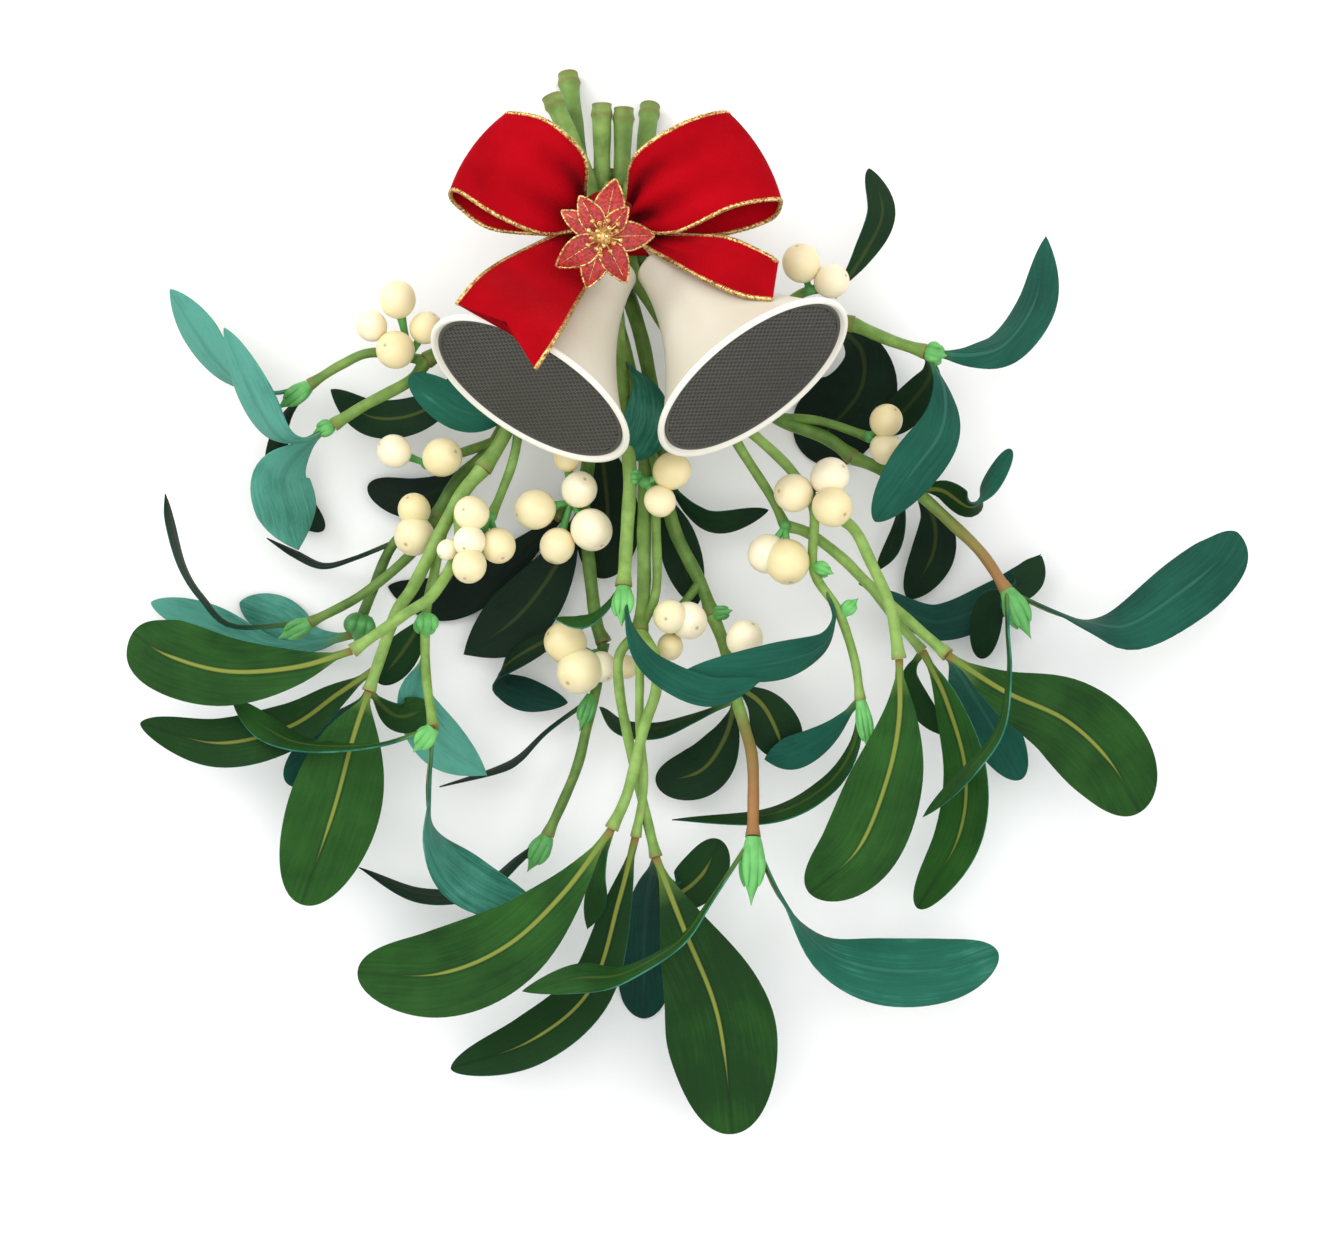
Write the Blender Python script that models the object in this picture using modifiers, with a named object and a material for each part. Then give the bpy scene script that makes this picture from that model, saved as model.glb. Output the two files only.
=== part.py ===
"""Mistletoe bunch lying flat: ten tied sprigs, berry clusters, a velvet bow with a poinsettia, two bells.

Every place below is in millimetres in the layout frame: x to the right, y towards the cut stems, z up
from the surface the bunch lies on. The last step moves the layout so that the middle of its bounding box
stands over the origin.
"""

import math

import bmesh
import bpy
import numpy as np
from mathutils import Matrix, Vector

MM = 0.001
LAYOUT_MIDDLE = Vector((6.8, 5.3, 0.0))  # middle of the layout's bounding box, in mm

LEAF_THICKNESS = 0.9
LEAF_ROWS = 6
PETIOLE_HALF_WIDTH = 0.9
LEAF_TIP_SHARE = 0.14  # the blunt tip's half width, as a share of the blade's width
BROAD_LEAF = 12.0  # from this width on a blade has a midrib line and a cup
ROWS_TO_TIP = 0.25  # how much the rows crowd towards the tip
WIDEST_AT = 0.66  # share of a leaf's length, from its base, where the blade is widest
BLADE_SWELL = 1.3  # exponent of the sine by which the blade widens from its stalk
LEAF_CUP = 0.05  # how far the midrib sinks, as a share of the width
STEM_SIDES_RESOLUTION = 1  # a bevel resolution of 1 makes six sides
FORK_SWELLING = 1.25  # a swollen ring at a fork, as a multiple of the stem's radius
SEAT_GAP = 0.3  # clearance between neighbouring pieces
BELOW_SURFACE = (400.0, 40.0)  # radius and depth of the block that cuts the resting sprigs level

# ---------------------------------------------------------------- the tie, where all the stems meet
TIE = Vector((-12.0, 97.0, 17.0))
TIE_STEM_RADIUS = 2.1
TIE_PITCH = 4.75  # stem spacing in a row
TIE_ROW = 4.15  # height from one row of stems to the next
CUT_END_RADIUS = 2.7
HIDDEN_END_RADIUS = 2.2


def tie_slot(column, row):
    """The place of one stem in the tie: column in pitches from the middle, row -1, 0 or 1."""
    return (TIE.x + column * TIE_PITCH, TIE.y, TIE.z + row * TIE_ROW)


def bundle_stem(column, row, cut_end, *below):
    """A main stem's points: its cut end, straight through the tie at its own slot, then down its sprig."""
    x, y, z = tie_slot(column, row)
    return [cut_end, (x, y + 9, z), (x, y - 8, z), *below]


# Each stem is (radius at its start, radius at its end, points). Each leaf is (blade width, spine from base to
# tip as x, y, z and roll in degrees) and, where its tip isn't round, how pointed it is, up to 1. Roll 0 shows
# a leaf's upper side, 90 its edge and 180 its underside. Each bud is (radius, base, tip).
SPRIGS = {
    "sprig_far_left": {
        "stems": [
            (CUT_END_RADIUS, 1.9, bundle_stem(-1.5, 0, (-23, 137, 1.6),
                                              (-34, 80, 21), (-47, 72, 21), (-58, 65, 22))),
            (1.7, 1.5, [(-58, 65, 22), (-62, 60, 23), (-73, 54, 24), (-81, 49, 24)]),
            (1.4, 1.3, [(-58, 65, 22), (-71, 67, 22), (-79, 64, 22), (-87, 59, 22)]),
        ],
        "leaves": [
            (14, [(-87, 59, 22, 75), (-97, 57, 20, 95), (-107, 62, 17, 115), (-115, 72, 14, 130),
                  (-122, 83, 12, 140)], 0.6),
            (14, [(-81, 49, 24, 75), (-89, 45, 26, 95), (-95, 47, 28, 115), (-101, 57, 28, 130),
                  (-108, 73, 26, 140)], 0.6),
            (17, [(-81, 49, 24, 100), (-89, 43, 20, 125), (-94, 36, 18, 150), (-92, 27, 16, 155),
                  (-90, 18, 14, 150)], 1.0),
            (8, [(-87, 59, 22, 40), (-94, 49, 12, 20), (-95, 38, 7, 10), (-90, 29, 5, 0), (-84, 23, 4, 0)]),
            (11, [(-47, 72, 21, 20), (-50, 60, 15, 25), (-60, 52, 13, 30), (-72, 51, 12, 30),
                  (-82, 58, 12, 20)], 0.6),
        ],
        "buds": [(2.2, (-87, 59, 22), (-95, 53, 22)), (1.9, (-81, 49, 24), (-86, 47, 25))],
    },
    "sprig_left_rear": {
        "stems": [
            (HIDDEN_END_RADIUS, 1.7, bundle_stem(-1, -1, (-16.8, 112, 10),
                                              (-27, 72, 15), (-41, 45, 13), (-50, 36, 13), (-56, 26, 14))),
            (1.5, 1.25, [(-56, 26, 14), (-62, 17, 15), (-74, 7, 16), (-87, 0, 16)]),
            (1.4, 1.5, [(-56, 26, 14), (-66, 20, 12), (-72, 7, 10), (-76, -3, 10)]),
            (1.4, 1.2, [(-41, 45, 13), (-50, 42, 15), (-58, 39, 16)]),
        ],
        "leaves": [
            (8, [(-87, 0, 16, 65), (-106, -1, 14, 75), (-114, 6, 14, 78), (-119, 14, 15, 78),
                 (-122, 25, 16, 75), (-123, 32, 17, 70)], 1.0),
            (6, [(-66, 20, 12, 70), (-76, 16, 10, 75), (-84, 14, 9, 75), (-91, 17, 9, 75),
                 (-98, 21, 9, 75)], 1.0),
            (9, [(-76, -3, 10, 160), (-95, -7, 8, 170), (-112, 0, 7, 170), (-127, 5, 7, 170)], 0.3),
            (11, [(-76, -3, 10, 160), (-87, -4, 4, 170), (-95, 1, 2.5, 175), (-105, 5, 2, 175)], 0.3),
            (10, [(-46, 40, 13, 10), (-53, 34, 8, 5), (-62, 31, 5, 0), (-73, 34, 4, 0)]),
        ],
        "buds": [(2.2, (-87, 0, 16), (-95, -4, 15)), (3.4, (-74, 2, 11), (-76, -5, 11))],
    },
    "sprig_left_front": {
        "stems": [
            (CUT_END_RADIUS, 2.0, bundle_stem(-1, 1, (-27, 131, 14),
                                              (-27, 72, 26), (-34, 56, 24), (-40, 44, 24), (-44, 38, 25))),
            (2.0, 1.5, [(-44, 38, 25), (-49, 32, 26), (-54, 23, 27), (-61, 9, 29), (-65, 3, 30),
                        (-69, -8, 31), (-72, -17, 32)]),
            (1.4, 1.2, [(-34, 56, 24), (-36, 42, 24), (-39, 33, 24), (-42, 26, 26)]),
            (1.6, 1.5, [(-50, 30, 26), (-50, 18, 31), (-56, 7, 36), (-63, 2, 38), (-76, -7, 38)]),
            (1.4, 1.3, [(-54, 23, 27), (-56, 12, 25), (-58, 2, 25), (-58, -12, 28), (-56, -26, 37)]),
        ],
        "leaves": [
            (19, [(-76, -7, 38, 0), (-90, -11, 38, -5), (-107, -12, 35, -5), (-122, -8, 32, 0),
                  (-130.5, -2.5, 30, 0)]),
            (13, [(-71, -12, 31, 20), (-80, -18, 28, 15), (-92, -26, 25, 15), (-110, -30, 23, 15),
                  (-129, -25, 22, 15)], 0.2),
            (9, [(-56, -26, 37, 70), (-68, -30, 38, 78), (-79, -31, 36, 75), (-90, -30, 31, 65),
                 (-98, -26, 27, 35), (-106, -19, 25, 15)], 0.5),
            (15, [(-56, -26, 37, 75), (-57, -42, 35, 85), (-56, -54, 33, 110), (-47, -64, 30, 150),
                  (-29, -73, 26, 165)], 0.2),
            (23, [(-72, -17, 32, 10), (-76, -29, 31, 5), (-81, -47, 27, 0), (-89, -70, 21, 0)]),
            (12, [(-72, -17, 32, 150), (-77, -24, 20, 170), (-84, -32, 13, 175), (-93, -40, 11, 175)]),
            (9, [(-72, -17, 32, 30), (-65, -23, 26, 20), (-57, -21, 24, 10)]),
            (13, [(-58, -8, 27, 150), (-61, -18, 23, 160), (-55, -29, 20, 165), (-43, -38, 17, 165)], 1.0),
            (9, [(-58, 2, 25, 10), (-63, -6, 22, 0), (-70, -15, 19, 0)]),
            (11, [(-34, 56, 24, 150), (-41, 52, 24, 155), (-50, 53, 25, 160), (-62, 61, 28.5, 165)]),
        ],
        "buds": [(2.3, (-56, -26, 37), (-61, -32, 36)), (2.6, (-58, 2, 25), (-58, -4, 27))],
    },
    "sprig_centre_rear": {
        "stems": [
            (HIDDEN_END_RADIUS, 1.7, bundle_stem(0, -1, (-12, 112, 9.5),
                                              (-13, 70, 17), (-17, 45, 14), (-19, 30, 13), (-18, 18, 13),
                                              (-16, 1, 14),
                                              (-14, -5, 15))),
            (1.5, 1.4, [(-14, -5, 15), (-16, -17, 15), (-18, -25, 15), (-21, -37, 15), (-28, -53, 16)]),
            (1.3, 1.2, [(-18, 36, 14), (-22, 30, 16), (-26, 26, 18)]),
        ],
        "leaves": [
            (16, [(-19, 30, 13, 10), (-26, 14, 9, 0), (-36, 1, 7, 0), (-49, -8, 6, 0)], 1.0),
            (12, [(-19, 32, 13, 10), (-32, 20, 6, 0), (-43, 11, 2.5, 0), (-55, 6, 0.9, 0),
                  (-68, 9, 0.35, 0)], 0.5),
            (16, [(-16, 50, 14, 0), (-14, 38, 9, 0), (-13, 24, 7, 0), (-15, 11, 6, 0)]),
            (11, [(-15, 1, 14, 10), (-27, -4, 14, 20), (-37, -10, 13, 60), (-40, -15, 11, 110),
                  (-33, -18, 9, 150), (-23, -20, 8, 160)], 0.5),
            (8, [(-28, -53, 16, 50), (-35, -59, 15, 60), (-45, -67, 13, 65), (-60, -68, 12, 65),
                 (-75, -61, 12, 60)], 1.0),
            (6, [(-17, -19, 15, 70), (-28, -27, 10, 75), (-35, -34, 8, 75), (-41, -37, 8, 75),
                 (-55, -41, 8, 75)], 1.0),
        ],
        "buds": [(1.9, (-17, -18, 15), (-20, -27, 16)), (2.4, (-28, -53, 16), (-33, -62, 16))],
    },
    "sprig_centre_front": {
        "stems": [
            (CUT_END_RADIUS, 1.8, bundle_stem(-0.5, 0, (-14.5, 129, 13),
                                              (-9, 68, 22), (-4, 45, 22), (-4, 22, 24), (-4, 9, 26),
                                              (-5, -2, 29))),
            (1.4, 1.4, [(-5, -2, 29), (-10, -8, 30), (-10, -17, 30), (-8, -28, 30), (-6, -37, 30),
                        (-1, -58, 32)]),
            (1.6, 1.5, [(-5, -2, 29), (-1, -9, 34), (-1, -17, 36), (-4, -26, 37), (-8, -42, 37),
                        (-12, -51, 37)]),
            (1.2, 1.2, [(-5, -2, 29), (-5, -14, 33), (-5, -26, 33.5), (-4, -40, 33.5), (-6, -53, 32)]),
            (1.3, 1.3, [(-5, 50, 23), (-1, 38, 24), (-1, 26, 25), (-1, 8, 27), (-5, -2, 29)]),
        ],
        "leaves": [
            (22.5, [(-12, -51, 37, 0), (-24, -67, 36, 0), (-38, -80, 33, 0), (-55, -87, 29, 0),
                    (-75, -87, 25, 0)]),
            (15, [(-6, -53, 32, 20), (-10, -69, 28, 25), (-17, -91, 23, 30), (-32, -104, 20, 30),
                  (-52, -111, 17, 30)], 0.2),
            (27.5, [(-1, -58, 32, 0), (6, -76, 31, 0), (13, -93, 28, 0), (16, -107, 25, 0),
                    (18, -127, 21, 0)]),
            (13, [(-1, -58, 32, 150), (-3, -66, 18, 170), (-4, -79, 7, 178), (-4, -91, 1.5, 180),
                  (-4, -99, 0.2, 180)]),
            (6, [(-12, -51, 37, 40), (-15, -62, 30, 30), (-16, -69, 26, 25), (-18, -76, 24, 20)], 1.0),
            (12, [(-1, -58, 32, 20), (3, -67, 25, 10), (10, -63, 21, 5), (15, -54, 19, 0)]),
        ],
        "buds": [],
    },
    "sprig_brown_stem": {
        "stems": [
            (CUT_END_RADIUS, 1.7, bundle_stem(0.5, 0, (-9, 128, 13),
                                              (-4, 68, 23), (0, 45, 18), (3, 25, 17), (10, 10, 17),
                                              (13, 2, 18))),
            (1.7, 1.6, [(13, 2, 18), (16, -6, 19), (19, -19, 21), (21, -26, 22), (23, -35, 25),
                        (23, -53, 32)]),
            (1.2, 1.1, [(10, 10, 17), (6, 5, 19), (3, 2, 22)]),
        ],
        "leaves": [
            (9, [(23, -53, 32, 70), (13, -68, 37, 75), (5, -79, 36.5, 72), (-9, -87, 38, 65),
                 (-21, -88, 39, 25), (-34, -91, 38, 10)], 0.7),
            (18, [(23, -53, 32, 70), (30, -68, 33, 85), (40, -81, 31, 120), (54, -86, 28, 155),
                  (70, -86, 24, 165), (84, -82, 21, 165)]),
            (13, [(19, -19, 21, 10), (16, -29, 14, 0), (10, -37, 10, 0), (-1, -40, 8, 0)]),
            (8, [(19, -19, 21, 40), (8, -24, 19, 55), (-1, -27, 18, 60), (-10, -26, 18, 60),
                 (-15, -21, 20, 60)], 0.6),
            (12.5, [(18, -15, 20, 10), (25, -20, 20, 0), (29, -27, 18, 0), (31, -34, 16, 0)], 0.3),
            (10, [(2, 32, 17, 0), (4, 22, 11, 0), (9, 4, 9, 0)], 0.5),
            (7, [(1, 36, 17, 30), (8, 28, 14, 40), (15, 25, 13, 40), (27, 28, 13, 35)], 0.5),
        ],
        "buds": [(2.7, (23, -53, 32), (22.5, -70, 34)), (1.6, (13, 2, 18), (18, 3, 21))],
    },
    "sprig_curled": {
        "stems": [
            (HIDDEN_END_RADIUS, 1.8, bundle_stem(0, 1, (-12, 109.5, 21.15),
                                              (-11, 80, 27), (-10, 66, 29), (-9, 56, 29), (-7.5, 37, 30),
                                              (-8, 25, 31), (-9, 9, 35))),
        ],
        "leaves": [
            (9, [(-9, 9, 35, 60), (-7, -2, 41, 120), (-1, -11, 46, 140), (12, -17, 48, 150),
                 (25, -14, 48, 140)], 0.6),
            (6, [(-9, 9, 35, 30), (-15, 2, 34, 60), (-20, 0, 34, 60), (-26, 1, 34, 60)], 0.8),
            (13, [(-10, 66, 29, 60), (-4, 59, 30, 130), (-3, 49, 30, 155), (-7, 40, 30, 150)], 0.3),
        ],
        "buds": [(2.3, (-9, 9, 35), (-9.5, -1, 38)), (1.7, (-7.5, 36, 30), (-4, 36, 31))],
    },
    "sprig_right_front": {
        "stems": [
            (HIDDEN_END_RADIUS, 1.9, bundle_stem(1, 1, (-7.25, 109.5, 21.15),
                                              (0, 76, 24), (9, 62, 24), (14, 54, 25))),
            (1.5, 1.2, [(14, 54, 25), (20, 43, 26), (27, 32, 28), (31, 24, 29)]),
            (1.5, 1.2, [(14, 54, 25), (25, 45, 26), (33, 37, 28), (38, 28, 31), (38, 13, 33),
                        (44, 3, 35), (48, -9, 35),
                        (49.5, -19, 34)]),
            (1.6, 1.6, [(38, 28, 31), (47, 24, 35), (52, 15, 38), (57, 3, 40), (59, -9, 40)]),
            (1.5, 1.5, [(31, 24, 29), (37, 22, 28), (45, 16, 29), (52, 9, 31), (62, 0, 35), (71, -8, 39)]),
            (1.2, 1.2, [(52, 9, 31), (58, 1, 31), (65, -7, 31)]),
        ],
        "leaves": [
            (20, [(59, -9, 40, 0), (59, -24, 40, 5), (56, -39, 37, 5), (49, -56, 33, 5), (37, -67, 29, 0)]),
            (14, [(65, -7, 31, 20), (71, -19, 30, 30), (76, -37, 26, 35), (74, -54, 22, 30),
                  (64, -71, 17, 25)]),
            (23, [(71, -8, 39, 0), (85, -17, 38, -5), (100, -24, 35, -5), (111, -34, 31, 0),
                  (119, -47, 26, 0)]),
            (13, [(71, -8, 39, 150), (75, -14, 27, 170), (82, -25, 17, 175), (90, -39, 13, 175)]),
            (6, [(65, -7, 31, 20), (62, -13, 27, 15), (65, -21, 22, 10), (71, -28, 20, 5)], 0.5),
            (9, [(49.5, -19, 34, 40), (48, -31, 30, 50), (41, -41, 27, 60), (27, -48, 24, 65),
                 (3, -49, 21, 60)], 1.0),
            (9, [(49.5, -19, 34, 150), (42, -27, 26, 155), (34, -32, 21, 160), (26, -34, 19, 165)], 0.7),
            (11, [(41, 8, 34, 75), (43, 1, 38, 95), (39, -6, 40, 120), (27, -10, 44, 150),
                  (6, -12, 43, 160)], 0.7),
            (10, [(50, 10, 31, 20), (56, 6, 19, 150), (69, 0, 9, 170), (84, 6, 7, 175),
                  (95, 17, 8, 175)], 0.9),
        ],
        "buds": [(1.7, (49.5, -19, 34), (52, -33, 35)), (1.6, (38, 14, 33), (43, 12, 35)),
                 (1.6, (45, 2, 35), (49, 6, 35))],
    },
    "sprig_right": {
        "stems": [
            (HIDDEN_END_RADIUS, 1.8, bundle_stem(1, -1, (-7.2, 112, 10),
                                              (2, 78, 17), (16, 61, 16), (29, 51, 17), (41, 46, 18),
                                              (48, 41, 19))),
            (1.8, 1.5, [(48, 41, 19), (55, 38, 20), (63, 33, 21), (73, 24, 22), (80, 17, 22), (86, 8, 22)]),
            (1.3, 1.2, [(29, 51, 17), (40, 50, 19), (52, 46, 21)]),
        ],
        "leaves": [
            (11, [(63, 33, 21, 20), (70, 33, 22, 30), (77, 29, 24, 60), (81, 33, 25, 110),
                 (87, 43, 25, 130)]),
            (11, [(63, 33, 21, 10), (68, 26, 12, 0), (68, 17, 7, 0), (62, 6, 3.5, 0)], 0.2),
            (5, [(60, 34, 21, 30), (60, 26, 12, 40), (58, 19, 10, 40), (54, 13, 9, 40)], 0.5),
            (17, [(86, 8, 22, 60), (97, 3, 24, 82), (107, -0.5, 24, 105), (116.5, -0.8, 22, 140),
                  (129.5, 7.5, 19, 160), (139, 15.5, 16, 165), (143.6, 22.5, 14, 165)], 0.1),
            (9, [(86, 8, 22, 80), (86, -2, 33, 85), (86, -13, 46, 85), (84, -26, 46, 80),
                 (77, -36, 40, 65), (65, -48, 36, 35)], 0.7),
            (8, [(86, 8, 22, 20), (82, 4, 16, 5), (80, -9, 11, 0)]),
            (8, [(86, 8, 22, 20), (90, 9, 16, 5), (95, 16.5, 13, 0)], 0.8),
        ],
        "buds": [(2.7, (86, 8, 22), (92, -4, 24))],
    },
    "sprig_upper_right": {
        "stems": [
            (CUT_END_RADIUS, 1.8, bundle_stem(1.5, 0, (-2.5, 129, 1.6),
                                              (2, 86, 24), (20, 80, 22), (40, 76, 21), (48, 74, 22))),
            (1.8, 1.6, [(48, 74, 22), (57, 70, 25), (66, 67, 28)]),
            (1.4, 1.2, [(30, 78, 21.5), (36, 82, 22), (43, 83, 22)]),
        ],
        "leaves": [
            (14, [(66, 67, 28, 100), (70, 57, 36, 130), (69, 47, 38, 150), (62, 37, 38, 160),
                  (53, 25, 36, 160)], 0.2),
            (14, [(66, 67, 28, 150), (77, 66, 26, 140), (86, 69, 22, 135), (93.5, 80, 18, 135),
                  (96, 96, 16, 140)], 0.8),
            (9, [(43, 81, 22, 20), (50, 91, 19, 35), (55, 102, 16, 40), (52, 113, 13, 40)], 0.3),
            (21, [(42, 75, 21, 10), (50, 68, 12, 0), (50, 58, 6, 0), (42, 48, 1.0, 0), (36, 42, 0.2, 0)]),
            (9, [(66, 67, 28, 20), (67, 61, 18, 5), (61, 53, 8, 0), (55, 47, 6, 0)], 0.3),
        ],
        "buds": [(2.4, (66, 67, 28), (71, 66, 30))],
    },
}

# Each cluster is (the point on a stem that it grows over, that stem's radius, berries as x, y, z and radius).
BERRY_CLUSTERS = {
    "berries_far_left": ((-62, 66, 22), 1.5,
                         [(-65, 80, 29, 4.6), (-71.5, 73.5, 28, 3.9), (-65.5, 67.5, 30, 4.8),
                          (-58, 73, 28, 4.0)]),
    "berries_left_rear": ((-58, 39.5, 16), 1.3, [(-66, 42.5, 22, 4.2), (-54, 41, 23.5, 4.9)]),
    "berries_left_low": ((-58.5, 24, 14.5), 1.6, [(-61, 28, 21.5, 4.1), (-61, 21.5, 22, 5.0)]),
    "berries_left_front": ((-42, 26, 26), 1.5,
                           [(-46.5, 27, 38, 4.4), (-47, 20, 39.5, 4.0), (-40, 19, 36, 4.4),
                            (-47, 14, 41, 4.3), (-52.5, 18, 36.5, 2.6)]),
    "berries_centre_rear": ((-22, 30, 16), 1.3,
                            [(-20, 33, 24, 4.5), (-23, 41, 22, 3.5), (-31, 28, 22, 5.0),
                             (-17, 23, 23.5, 5.2), (-25.5, 19, 22, 4.4)]),
    "berries_low": ((-16, -8, 15), 1.6,
                    [(-23.5, -5, 22, 5.2), (-20, -12, 23, 5.7), (-14.5, -11, 20.5, 3.8),
                     (-8.5, -11, 20, 3.0)]),
    "berries_middle": ((4.5, 3.5, 20.6), 1.3,
                       [(2.5, 1.5, 31.5, 4.3), (7, 0.5, 29, 4.7), (2.5, -6, 26, 3.3)]),
    "berries_brown_stem": ((17, -10, 19.7), 1.8, [(21, -4, 27, 4.6)]),
    "berries_curled": ((-3.6, 34.5, 30.3), 1.0, [(3, 37.5, 33.5, 4.7), (0, 30, 33.5, 3.9)]),
    "berries_right_front": ((37, 32, 29.5), 1.4,
                            [(33, 32, 36, 4.8), (42, 36, 37, 4.8), (42.5, 28.5, 40, 5.0)]),
    "berries_right_low": ((31, 24, 29), 1.4, [(26.5, 17, 33, 4.8), (31.5, 15, 35.5, 5.5)]),
    "berries_right": ((52, 46, 21), 1.5, [(56, 50, 28, 4.1), (56, 43, 27, 4.0)]),
    "berries_upper_right": ((37, 82.5, 22), 1.4, [(35, 89, 29, 4.8), (42.5, 84.5, 29, 4.3)]),
}
PEDICEL_RADIUS = 0.8
CLUSTER_CORE_RADIUS = 1.5

# ---------------------------------------------------------------- the bells
BELL_LENGTH = 40.0
BELL_CROWN_RADIUS = 7.7
BELL_RIM_RADIUS = 27.2
BELL_WALL = 1.1
BELL_RIM_ROLL = 0.8
BELL_SIDES = 20
BELL_FLARE = 1.85  # exponent of the flare
BELL_TILT = 23.0  # degrees that the mouth looks up
BELL_MOUTH_HEIGHT = 58.5
GRILLE_THICKNESS = 0.8
GRILLE_DEPTH = 0.3  # how far the mesh disc sits inside the rim
BELL_STUB = (1.8, 9.0)  # radius and length of the hanging stub behind the crown
CROWN_ROOM = (14.0, 3.0)  # depth of the hollow that the knot leaves round a crown, and its extra radius
BELLS = {  # middle of the mouth, direction from the crown to the mouth seen from above
    "left": ((-31.9, 57.3), (-0.535, -0.845)),
    "right": ((22.8, 60.1), (0.605, -0.796)),
}

# ---------------------------------------------------------------- the ribbon
RIBBON_THICKNESS = 1.0
BAND_HALF_LENGTH = 6.0
BAND_HALF_WIDTH = 11.1
BAND_HALF_HEIGHT = 8.1
KNOT_LUMPS = [  # middle and half sizes
    ((-13.5, 99.5, 38.0), (8.5, 6.5, 15.0)),
    ((-13.5, 102.0, 50.0), (5.2, 4.6, 6.5)),
]
# Each ribbon is a list of cross lines, one edge then the other, from the knot out and, for a loop, back.
LOOPS = {
    "left": [
        ((-18.5, 105, 50), (-20.5, 96.5, 50)), ((-18.8, 114.5, 55), (-29, 95.5, 55)),
        ((-27.5, 122.8, 57), (-40, 100, 57)), ((-36.5, 125, 54), (-49.5, 106, 54)),
        ((-38, 123.5, 49), (-51.5, 105, 49)), ((-37, 119.5, 45), (-49, 102, 45)),
        ((-29, 113, 44), (-41, 97, 44)), ((-21.2, 102, 45), (-24.7, 95.5, 45)),
    ],
    "right": [
        ((-7.8, 105, 50), (-6, 96.5, 50)), ((-6, 114.5, 55), (4, 96, 55)),
        ((5, 122, 57), (17.5, 102, 57)), ((15, 125.2, 54), (28, 104, 54)),
        ((17, 123.5, 49), (29.5, 102.5, 49)), ((14, 118.5, 45), (26.5, 99, 45)),
        ((4, 110, 44), (14, 95.5, 44)), ((-6, 101.5, 45), (-3, 95, 45)),
    ],
}
TAILS = {
    "left": [
        ((-23, 96.5, 47.8), (-15.6, 90.3, 51.6)), ((-30, 93, 53.5), (-17, 84.5, 58.5)),
        ((-39, 88, 65), (-20.5, 78, 71)), ((-44.5, 83.5, 77), (-25, 69.5, 88)),
        ((-49.5, 77.5, 81), (-30.3, 61.5, 88.5)),
    ],
    "right": [
        ((-4, 92.5, 51), (-1, 95.5, 46.5)), ((3, 88.5, 56), (8, 95, 52)),
        ((11, 84, 63), (17, 94, 60)), ((20, 80, 69.3), (26, 90, 63)),
        ((27.4, 78.8, 72), (28.7, 88, 66.6)),
    ],
}
TAIL_NOTCH = {"left": 6.0, "right": 0.0}
LOOP_BULGE = 1.8  # how far a loop's outer end bows outwards between its edges

# ---------------------------------------------------------------- the poinsettia
FLOWER = Vector((-13.9, 94.2, 67.0))
PETALS = [  # direction in degrees from +x, length, width, droop of the tip
    (78, 14.5, 6.5, 1.5), (120, 11.5, 5.0, 1.0), (148, 12.0, 4.5, 1.5), (212, 13.5, 6.0, 2.0),
    (252, 13.0, 6.0, 1.0), (297, 12.5, 5.5, 1.5), (2, 12.5, 6.0, 1.5), (50, 9.5, 4.0, 0.5),
]
PETAL_THICKNESS = 0.8
FLOWER_DISC_RADIUS = 3.2
FLOWER_STEM_RADIUS = 1.6
FLOWER_STEM_FOOT = (-13.9, 98.2, 56.9)  # on top of the knot
BEAD_RADIUS = 0.9
BEADS = 8


# ---------------------------------------------------------------- helpers
def clear_scene():
    """Start from an empty file."""
    for found in list(bpy.data.objects):
        bpy.data.objects.remove(found, do_unlink=True)


def finish(name, colour, roughness, metallic=0.0):
    """A plain painted or natural finish."""
    material = bpy.data.materials.new(name)
    material.use_nodes = True
    shader = material.node_tree.nodes["Principled BSDF"]
    shader.inputs["Base Color"].default_value = (*colour, 1.0)
    shader.inputs["Roughness"].default_value = roughness
    shader.inputs["Metallic"].default_value = metallic
    return material


def place(point):
    """A layout point in millimetres as a scene point in metres."""
    return (Vector(point) - LAYOUT_MIDDLE) * MM


def new_object(name, mesh, collection, material=None):
    """Link a mesh into a collection under a name."""
    made = bpy.data.objects.new(name, mesh)
    collection.objects.link(made)
    if material:
        mesh.materials.append(material)
    return made


def baked(source, name, collection, material=None, weld=True):
    """The evaluated mesh of an object as an object of its own; the source is removed."""
    depsgraph = bpy.context.evaluated_depsgraph_get()
    mesh = bpy.data.meshes.new_from_object(source.evaluated_get(depsgraph))
    mesh.transform(source.matrix_world)
    bpy.data.objects.remove(source, do_unlink=True)
    cage = bmesh.new()
    cage.from_mesh(mesh)
    if weld:
        bmesh.ops.remove_doubles(cage, verts=cage.verts, dist=0.00001)
        bmesh.ops.recalc_face_normals(cage, faces=cage.faces)
    bmesh.ops.triangulate(cage, faces=cage.faces)
    cage.to_mesh(mesh)
    cage.free()
    mesh.materials.clear()
    return new_object(name, mesh, collection, material)


def between(points, steps):
    """Points on the smooth Catmull-Rom curve through the given ones, steps to each span."""
    knots = [Vector(p) for p in points]
    knots = [2 * knots[0] - knots[1], *knots, 2 * knots[-1] - knots[-2]]
    found = []
    for a, b, c, d in zip(knots, knots[1:], knots[2:], knots[3:]):
        for step in range(steps):
            t = step / steps
            found.append(0.5 * (2 * b + (c - a) * t + (2 * a - 5 * b + 4 * c - d) * t**2
                                + (3 * b - a - 3 * c + d) * t**3))
    return [*found, knots[-2]]


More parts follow.
